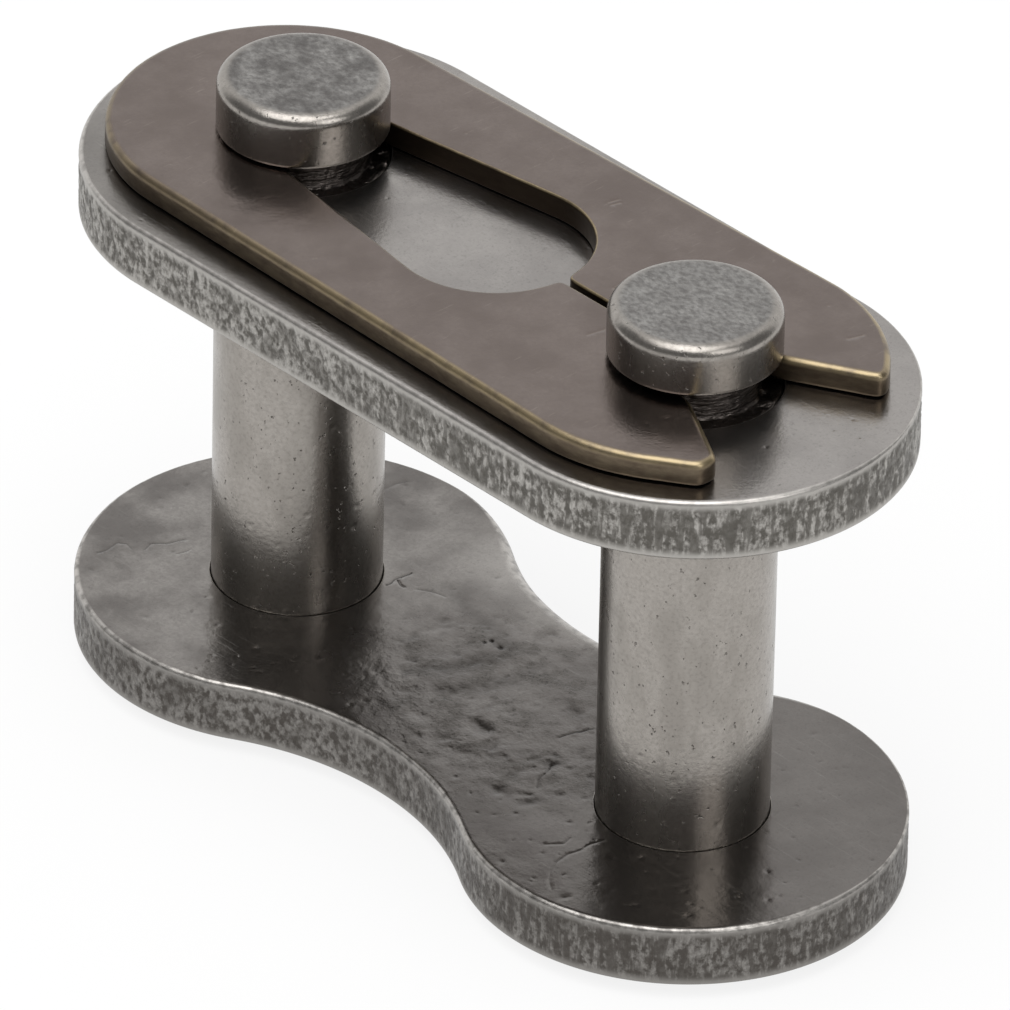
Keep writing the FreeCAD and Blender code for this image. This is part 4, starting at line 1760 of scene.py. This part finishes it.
@dataclass
class SpringClip:
    """Keyhole clip that grips both grooves.

    Attributes:
        finish: Finish of the whole clip.
        closed_reach: How far the closed end's centre lies beyond its pin.
        closed_radius: Radius of the closed end.
        open_setback: How far the open end's centre lies short of its pin.
        open_radius: Radius of the open end.
        tip_reach: How far both tips reach past the pin.
        near_spread: How much farther out the near tip stands.
        notch: Radius of the notches round the grooves.
        neck: Half width between the closed end's notch and the window.
        window: Radius of the window.
        travel: From the closed end's pin to the middle of the window.
        slit: Half width of the slit between the legs.
        throat: Half width of the throat.
        throat_reach: How far the throat's corner lies beyond the pin.
        flare: Angle of the mouth's sides, in degrees.
        corner: How far the outline's corners are rounded.
        upper_edge: Radius of the upper edge inside, and what rubbing adds to it outside.
        lower_edge: The same of the lower edge.
        relief: Grain of its surfaces.
        scratches: Scratches in its upper face.
        specks: Small pits all over it.
    """

    finish: OiledSpringSteel
    closed_reach: float = 0.48
    closed_radius: float = 4.10
    open_setback: float = 0.18
    open_radius: float = 4.42
    tip_reach: float = 3.32
    near_spread: float = 0.27
    notch: float = 1.55
    neck: float = 1.45
    window: float = 2.27
    travel: float = 6.23
    slit: float = 0.09
    throat: float = 1.30
    throat_reach: float = 1.25
    flare: float = 29.0
    corner: float = 0.15
    upper_edge: tuple[float, float] = (0.06, 0.11)
    lower_edge: tuple[float, float] = (0.04, 0.05)
    relief: tuple[Relief, ...] = (
        Relief(Zone.WALL, Grain((0.5, 0.5, 0.3), 0.3, 0.7, detail=2.0, seed=61.0), 0.006),
        Relief(Zone.FACE, Grain((0.9, 0.9, 0.9), 0.35, 0.7, detail=1.0, seed=63.0), 0.004),
    )
    scratches: tuple[Mark, ...] = (
        Crack(((0.5, 2.9), (0.56, 3.15)), width=0.05, depth=0.012),
        Crack(((0.62, 2.88), (0.68, 3.1)), width=0.05, depth=0.012),
        Crack(((3.6, 1.4), (3.75, 1.75)), width=0.05, depth=0.012),
        Crack(((3.2, 0.55), (3.55, 0.9)), width=0.07, depth=0.015),
        Crack(((8.1, 3.0), (8.2, 3.3)), width=0.05, depth=0.012),
        Crack(((4.2, -1.2), (4.3, -0.7)), width=0.04, depth=0.01),
    )
    specks: Scatter = Scatter(50, 0.02, 0.05, depth=0.01, seed=47, low=(-10.9, -4.4), high=(9.7, 4.4))

    def outline(self) -> Loop:
        """One closed line round the clip, through the mouth, the slit and the window."""
        closed_x, open_x = -HALF_PITCH - self.closed_reach, HALF_PITCH - self.open_setback
        tip_x = HALF_PITCH + self.tip_reach
        lean = math.acos((self.closed_radius - self.open_radius) / (open_x - closed_x))
        tip_angle = math.acos((tip_x - open_x) / self.open_radius)
        far_y = self.open_radius * math.sin(tip_angle)
        near_y = far_y + self.near_spread
        reach = math.hypot(tip_x - open_x, near_y)
        leave = math.atan2(near_y, tip_x - open_x) + math.acos(self.open_radius / reach)
        throat_x = HALF_PITCH + self.throat_reach
        mouth_y = self.throat + (tip_x - throat_x) * math.tan(math.radians(self.flare))
        throat_angle = math.asin(self.throat / self.notch)
        slit_angle = math.pi - math.asin(self.slit / self.notch)
        window_x = -HALF_PITCH + self.travel
        gap_angle = math.asin(self.slit / self.window)
        neck_angle = math.asin(self.neck / self.notch)
        neck_x = -HALF_PITCH + self.notch * math.cos(neck_angle)
        run = window_x - neck_x
        touch = math.pi - math.atan2(self.neck, run) - math.acos(self.window / math.hypot(run, self.neck))
        parts = (
            Arc(open_x, 0, self.open_radius, tip_angle, lean),
            Arc(closed_x, 0, self.closed_radius, lean, 2 * math.pi - lean),
            Arc(open_x, 0, self.open_radius, -lean, -leave),
            (tip_x, -near_y),
            (tip_x, -mouth_y),
            (throat_x, -self.throat),
            Arc(HALF_PITCH, 0, self.notch, -throat_angle, -slit_angle),
            Arc(window_x, 0, self.window, -gap_angle, -touch),
            Arc(-HALF_PITCH, 0, self.notch, 2 * math.pi - neck_angle, neck_angle),
            Arc(window_x, 0, self.window, touch, gap_angle),
            Arc(HALF_PITCH, 0, self.notch, slit_angle, throat_angle),
            (throat_x, self.throat),
            (tip_x, mouth_y),
        )
        points = Loop.trace(parts, self.corner)
        inner = np.hypot(*(points - (HALF_PITCH, 0)).T) < self.notch + 0.2
        inner |= (
            (np.abs(points[:, 1]) < self.window + 0.1)
            & (points[:, 0] < HALF_PITCH)
            & (points[:, 0] > -HALF_PITCH - self.notch - 0.1)
        )
        rubbed = soften(np.where(inner, 0.0, 1.0), 6)
        upper, lower = (low + gain * rubbed for low, gain in (self.upper_edge, self.lower_edge))
        return Loop(points, upper, lower)

    def build(self, tree: bpy.types.NodeTree) -> bpy.types.Object:
        """Model, grain and dress the clip.

        Args:
            tree: The surface_relief tree.

        Returns:
            The finished clip.
        """
        bottom, top = heights(Part.CLIP)
        marks = (*self.scratches, *self.specks.marks())
        stamping = Stamping([self.outline()], bottom, top, marks=marks)
        piece = place_piece(stamping.mesh("sprung_clip"), "sprung_clip")
        material = self.finish.material()
        for relief in self.relief:
            relief.press(piece, tree, material)
        stand_for(piece, Part.CLIP, Body.CLIP)
        return piece


# Studio


@dataclass(frozen=True)
class Softbox:
    """Large soft lamp that looks at the link.

    Attributes:
        name: Name of the lamp.
        azimuth: Direction from the link, as the camera's azimuth, in degrees.
        elevation: Height above the floor's plane, in degrees.
        distance: Distance in metres.
        size: Side of the square lamp in metres.
        radiance: Brightness of its face, where white paper in full light is 1.
    """

    name: str
    azimuth: float
    elevation: float
    distance: float
    size: float
    radiance: float

    def place(self) -> None:
        """Hang the lamp."""
        data = bpy.data.lights.new(self.name, "AREA")
        data.shape = "SQUARE"
        data.size = self.size
        data.energy = self.radiance * math.pi * self.size**2
        lamp = bpy.data.objects.new(self.name, data)
        away = direction(self.azimuth, self.elevation)
        lamp.location = away * self.distance
        lamp.rotation_mode = "QUATERNION"
        lamp.rotation_quaternion = away.to_track_quat("Z", "Y")
        bpy.context.scene.collection.objects.link(lamp)


def direction(azimuth: float, elevation: float) -> Vector:
    """Unit vector from the link towards a point of view.

    Args:
        azimuth: 0 stands in front of the link and looks along +Y, in degrees.
        elevation: Angle above the horizon, in degrees.

    Returns:
        The vector.
    """
    turn, lift = math.radians(azimuth), math.radians(elevation)
    return Vector(
        (math.sin(turn) * math.cos(lift), -math.cos(turn) * math.cos(lift), math.sin(lift))
    )


@dataclass(frozen=True)
class Studio:
    """White floor, white surroundings and soft lamps.

    Attributes:
        floor_side: Side of the floor in metres.
        floor_colour: Colour of the floor.
        ambient: Light of the surroundings on matt surfaces.
        shadow: How much of the link's shadow the floor keeps.
        dim: Brightness of the unlit room behind the photographer.
        front: Azimuth of the photographer, in degrees.
        window: Azimuth and elevation of the bright window beside the photographer.
        window_light: Brightness of that window in the metal.
        room_edge: Cosines of the angle from the front at which the dim room is full and where it ends.
        room_floor: Heights at which the room begins and is full, as sines.
        room_ceiling: Heights at which it ends and is still full, as sines.
        window_edge: Cosines of the angle from the window's middle at which it ends and is full.
        softboxes: The lamps.
    """

    floor_side: float = 2.0
    floor_colour: str = "#FCFCFC"
    ambient: float = 0.7
    shadow: float = 0.16
    dim: float = 0.2
    front: float = 46.0
    window: tuple[float, float] = (84.0, 33.0)
    window_light: float = 2.6
    room_edge: tuple[float, float] = (-0.62, -0.25)
    room_floor: tuple[float, float] = (-0.05, 0.02)
    room_ceiling: tuple[float, float] = (0.9, 0.74)
    window_edge: tuple[float, float] = (0.94, 0.99)
    softboxes: tuple[Softbox, ...] = (
        Softbox("overhead_softbox", azimuth=20.0, elevation=72.0, distance=0.5, size=0.46, radiance=2.0),
    )

    def seen(self, tree: bpy.types.NodeTree) -> bpy.types.NodeSocket:
        """Whether the camera, a reflection or a refraction looks at the surroundings."""
        path = add(tree, "ShaderNodeLightPath").outputs
        looked = path["Is Camera Ray"]
        for ray in ("Is Glossy Ray", "Is Transmission Ray"):
            looked = add(tree, "ShaderNodeMath", {0: looked, 1: path[ray]}, operation="MAXIMUM").outputs[0]
        return looked

    def mirrored(self, tree: bpy.types.NodeTree) -> bpy.types.NodeSocket:
        """Brightness of the room that the metal mirrors, by direction.

        It is white all round, but for a dim room behind the photographer with a bright window in it.

        Args:
            tree: The world's tree.

        Returns:
            The brightness, where 1 is white.
        """
        looking = add(tree, "ShaderNodeTexCoord").outputs["Generated"]
        height = add(tree, "ShaderNodeSeparateXYZ", {0: looking}).outputs["Z"]
        front, window = (
            add(tree, "ShaderNodeVectorMath", {0: looking, 1: way}, operation="DOT_PRODUCT").outputs["Value"]
            for way in (direction(self.front, 0), direction(*self.window))
        )
        room, *limits, glow = (
            add(
                tree,
                "ShaderNodeMapRange",
                {"Value": value, "From Min": low, "From Max": high},
                interpolation_type="SMOOTHSTEP",
            ).outputs[0]
            for value, (low, high) in (
                (front, self.room_edge),
                (height, self.room_floor),
                (height, self.room_ceiling),
                (window, self.window_edge),
            )
        )
        for limit in limits:
            room = add(tree, "ShaderNodeMath", {0: room, 1: limit}, operation="MULTIPLY").outputs[0]
        level: Setting = 1.0
        for share, gain in ((room, self.dim - 1.0), (glow, self.window_light)):
            inputs = {0: share, 1: gain, 2: level}
            level = add(tree, "ShaderNodeMath", inputs, operation="MULTIPLY_ADD").outputs[0]
        return level

    def surroundings(self) -> None:
        """Light the link evenly and show plain white behind it."""
        world = bpy.data.worlds.new("white_surroundings")
        world.use_nodes = True
        tree = world.node_tree
        tree.nodes.clear()
        light, white, mirrored = (
            add(tree, "ShaderNodeBackground", {"Color": linear(WHITE), "Strength": strength}).outputs[0]
            for strength in (self.ambient, 1.0, self.mirrored(tree))
        )
        glossy = add(tree, "ShaderNodeLightPath").outputs["Is Glossy Ray"]
        shown = add(tree, "ShaderNodeMixShader", {0: glossy, 1: white, 2: mirrored})
        mixed = add(tree, "ShaderNodeMixShader", {0: self.seen(tree), 1: light, 2: shown.outputs[0]})
        add(tree, "ShaderNodeOutputWorld", {"Surface": mixed.outputs[0]})
        bpy.context.scene.world = world

    def floor(self) -> None:
        """Lay a matt white floor that looks white and still takes the link's shadow."""
        half = self.floor_side / 2
        corners = [(-half, -half, 0), (half, -half, 0), (half, half, 0), (-half, half, 0)]
        mesh = bpy.data.meshes.new("studio_floor")
        mesh.from_pydata(corners, [], [(0, 1, 2, 3)])
        floor = place_piece(mesh, "studio_floor")
        material = bpy.data.materials.new("matt_white_floor")
        material.use_nodes = True
        tree = material.node_tree
        tree.nodes.clear()
        matt = add(tree, "ShaderNodeBsdfDiffuse", {"Color": linear(self.floor_colour)})
        white = add(tree, "ShaderNodeEmission", {"Color": linear(WHITE), "Strength": 1.0})
        share = add(tree, "ShaderNodeMath", {0: self.seen(tree), 1: 1 - self.shadow}, operation="MULTIPLY")
        mixed = add(
            tree, "ShaderNodeMixShader", {0: share.outputs[0], 1: matt.outputs[0], 2: white.outputs[0]}
        )
        add(tree, "ShaderNodeOutputMaterial", {"Surface": mixed.outputs[0]})
        mesh.materials.append(material)

    def build(self) -> None:
        """Set the whole studio."""
        self.surroundings()
        self.floor()
        for softbox in self.softboxes:
            softbox.place()
        LOG.info("studio with %d softboxes", len(self.softboxes))


@dataclass(frozen=True)
class PhotoCamera:
    """Long lens that looks down on the link from the open end's near side.

    Attributes:
        azimuth: Direction of view, in degrees.
        elevation: Angle above the horizon, in degrees.
        roll: Tilt of the picture, in degrees.
        distance: Distance from the aim in metres.
        aim: Height that it aims at in metres.
        shift: Sideways and upward offset of the camera in metres.
        lens: Focal length in millimetres on a sensor 36 mm wide.
    """

    azimuth: float = 46.3846
    elevation: float = 32.8651
    roll: float = 1.2174
    distance: float = 0.3982115
    aim: float = 0.00642
    shift: tuple[float, float] = (0.00030645, 0.00018799)
    lens: float = 636.508

    def place(self) -> None:
        """Stand the camera and make it the scene's own."""
        back = direction(self.azimuth, self.elevation)
        turn = math.radians(self.azimuth)
        level = Vector((math.cos(turn), math.sin(turn), 0))
        upright = back.cross(level)
        tilt = math.radians(self.roll)
        right = level * math.cos(tilt) + upright * math.sin(tilt)
        up = upright * math.cos(tilt) - level * math.sin(tilt)
        place = Vector((0, 0, self.aim)) + back * self.distance + right * self.shift[0] + up * self.shift[1]
        data = bpy.data.cameras.new("photo_camera")
        data.lens = self.lens
        data.sensor_width = 36.0
        data.clip_start, data.clip_end = 0.01, 10.0
        camera = bpy.data.objects.new("photo_camera", data)
        turned = Matrix((right, up, back)).transposed().to_4x4()
        camera.matrix_world = Matrix.Translation(place) @ turned
        bpy.context.scene.collection.objects.link(camera)
        bpy.context.scene.camera = camera


def main() -> None:
    """Dress each piece of the link and set up the studio."""
    logging.basicConfig(level=logging.INFO, format="%(name)s: %(message)s")
    bpy.context.scene.view_settings.view_transform = "Standard"
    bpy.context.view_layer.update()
    PhotoCamera().place()
    Studio().build()
    relief = relief_tree()
    lathe = lathe_tree((Zone.GROOVE, Zone.CROWN, Zone.SHANK))
    base_steel = TumbledPlateSteel(
        name="tumbled_base_plate_steel",
        face="#928E8A",
        cloud="#6B6764",
        land="#8D8A86",
        tear="#524E4A",
        drift=0.8,
        # Painted glare along the far side of the waist.
        wear_and_glare=0.4,
    )
    cover_steel = TumbledPlateSteel(
        name="tumbled_cover_plate_steel",
        face="#A6A29E",
        cloud="#94908D",
        land="#B3B0AB",
        tear="#625F5A",
        # Painted shade beside the clip on the cover's near side.
        near_side_shade=0.45,
    )
    BasePlate(base_steel).build(relief)
    pin_steel = GroundPinSteel().material()
    GroovedPin(Part.CLOSED_END_PIN, "turned_closed_end_pin", -1, groove=(12.90, 13.66)).build(
        lathe, relief, pin_steel
    )
    GroovedPin(Part.OPEN_END_PIN, "turned_open_end_pin", 1).build(lathe, relief, pin_steel)
    CoverPlate(cover_steel).build(relief)
    SpringClip(OiledSpringSteel()).build(relief)


if __name__ == "__main__":
    main()
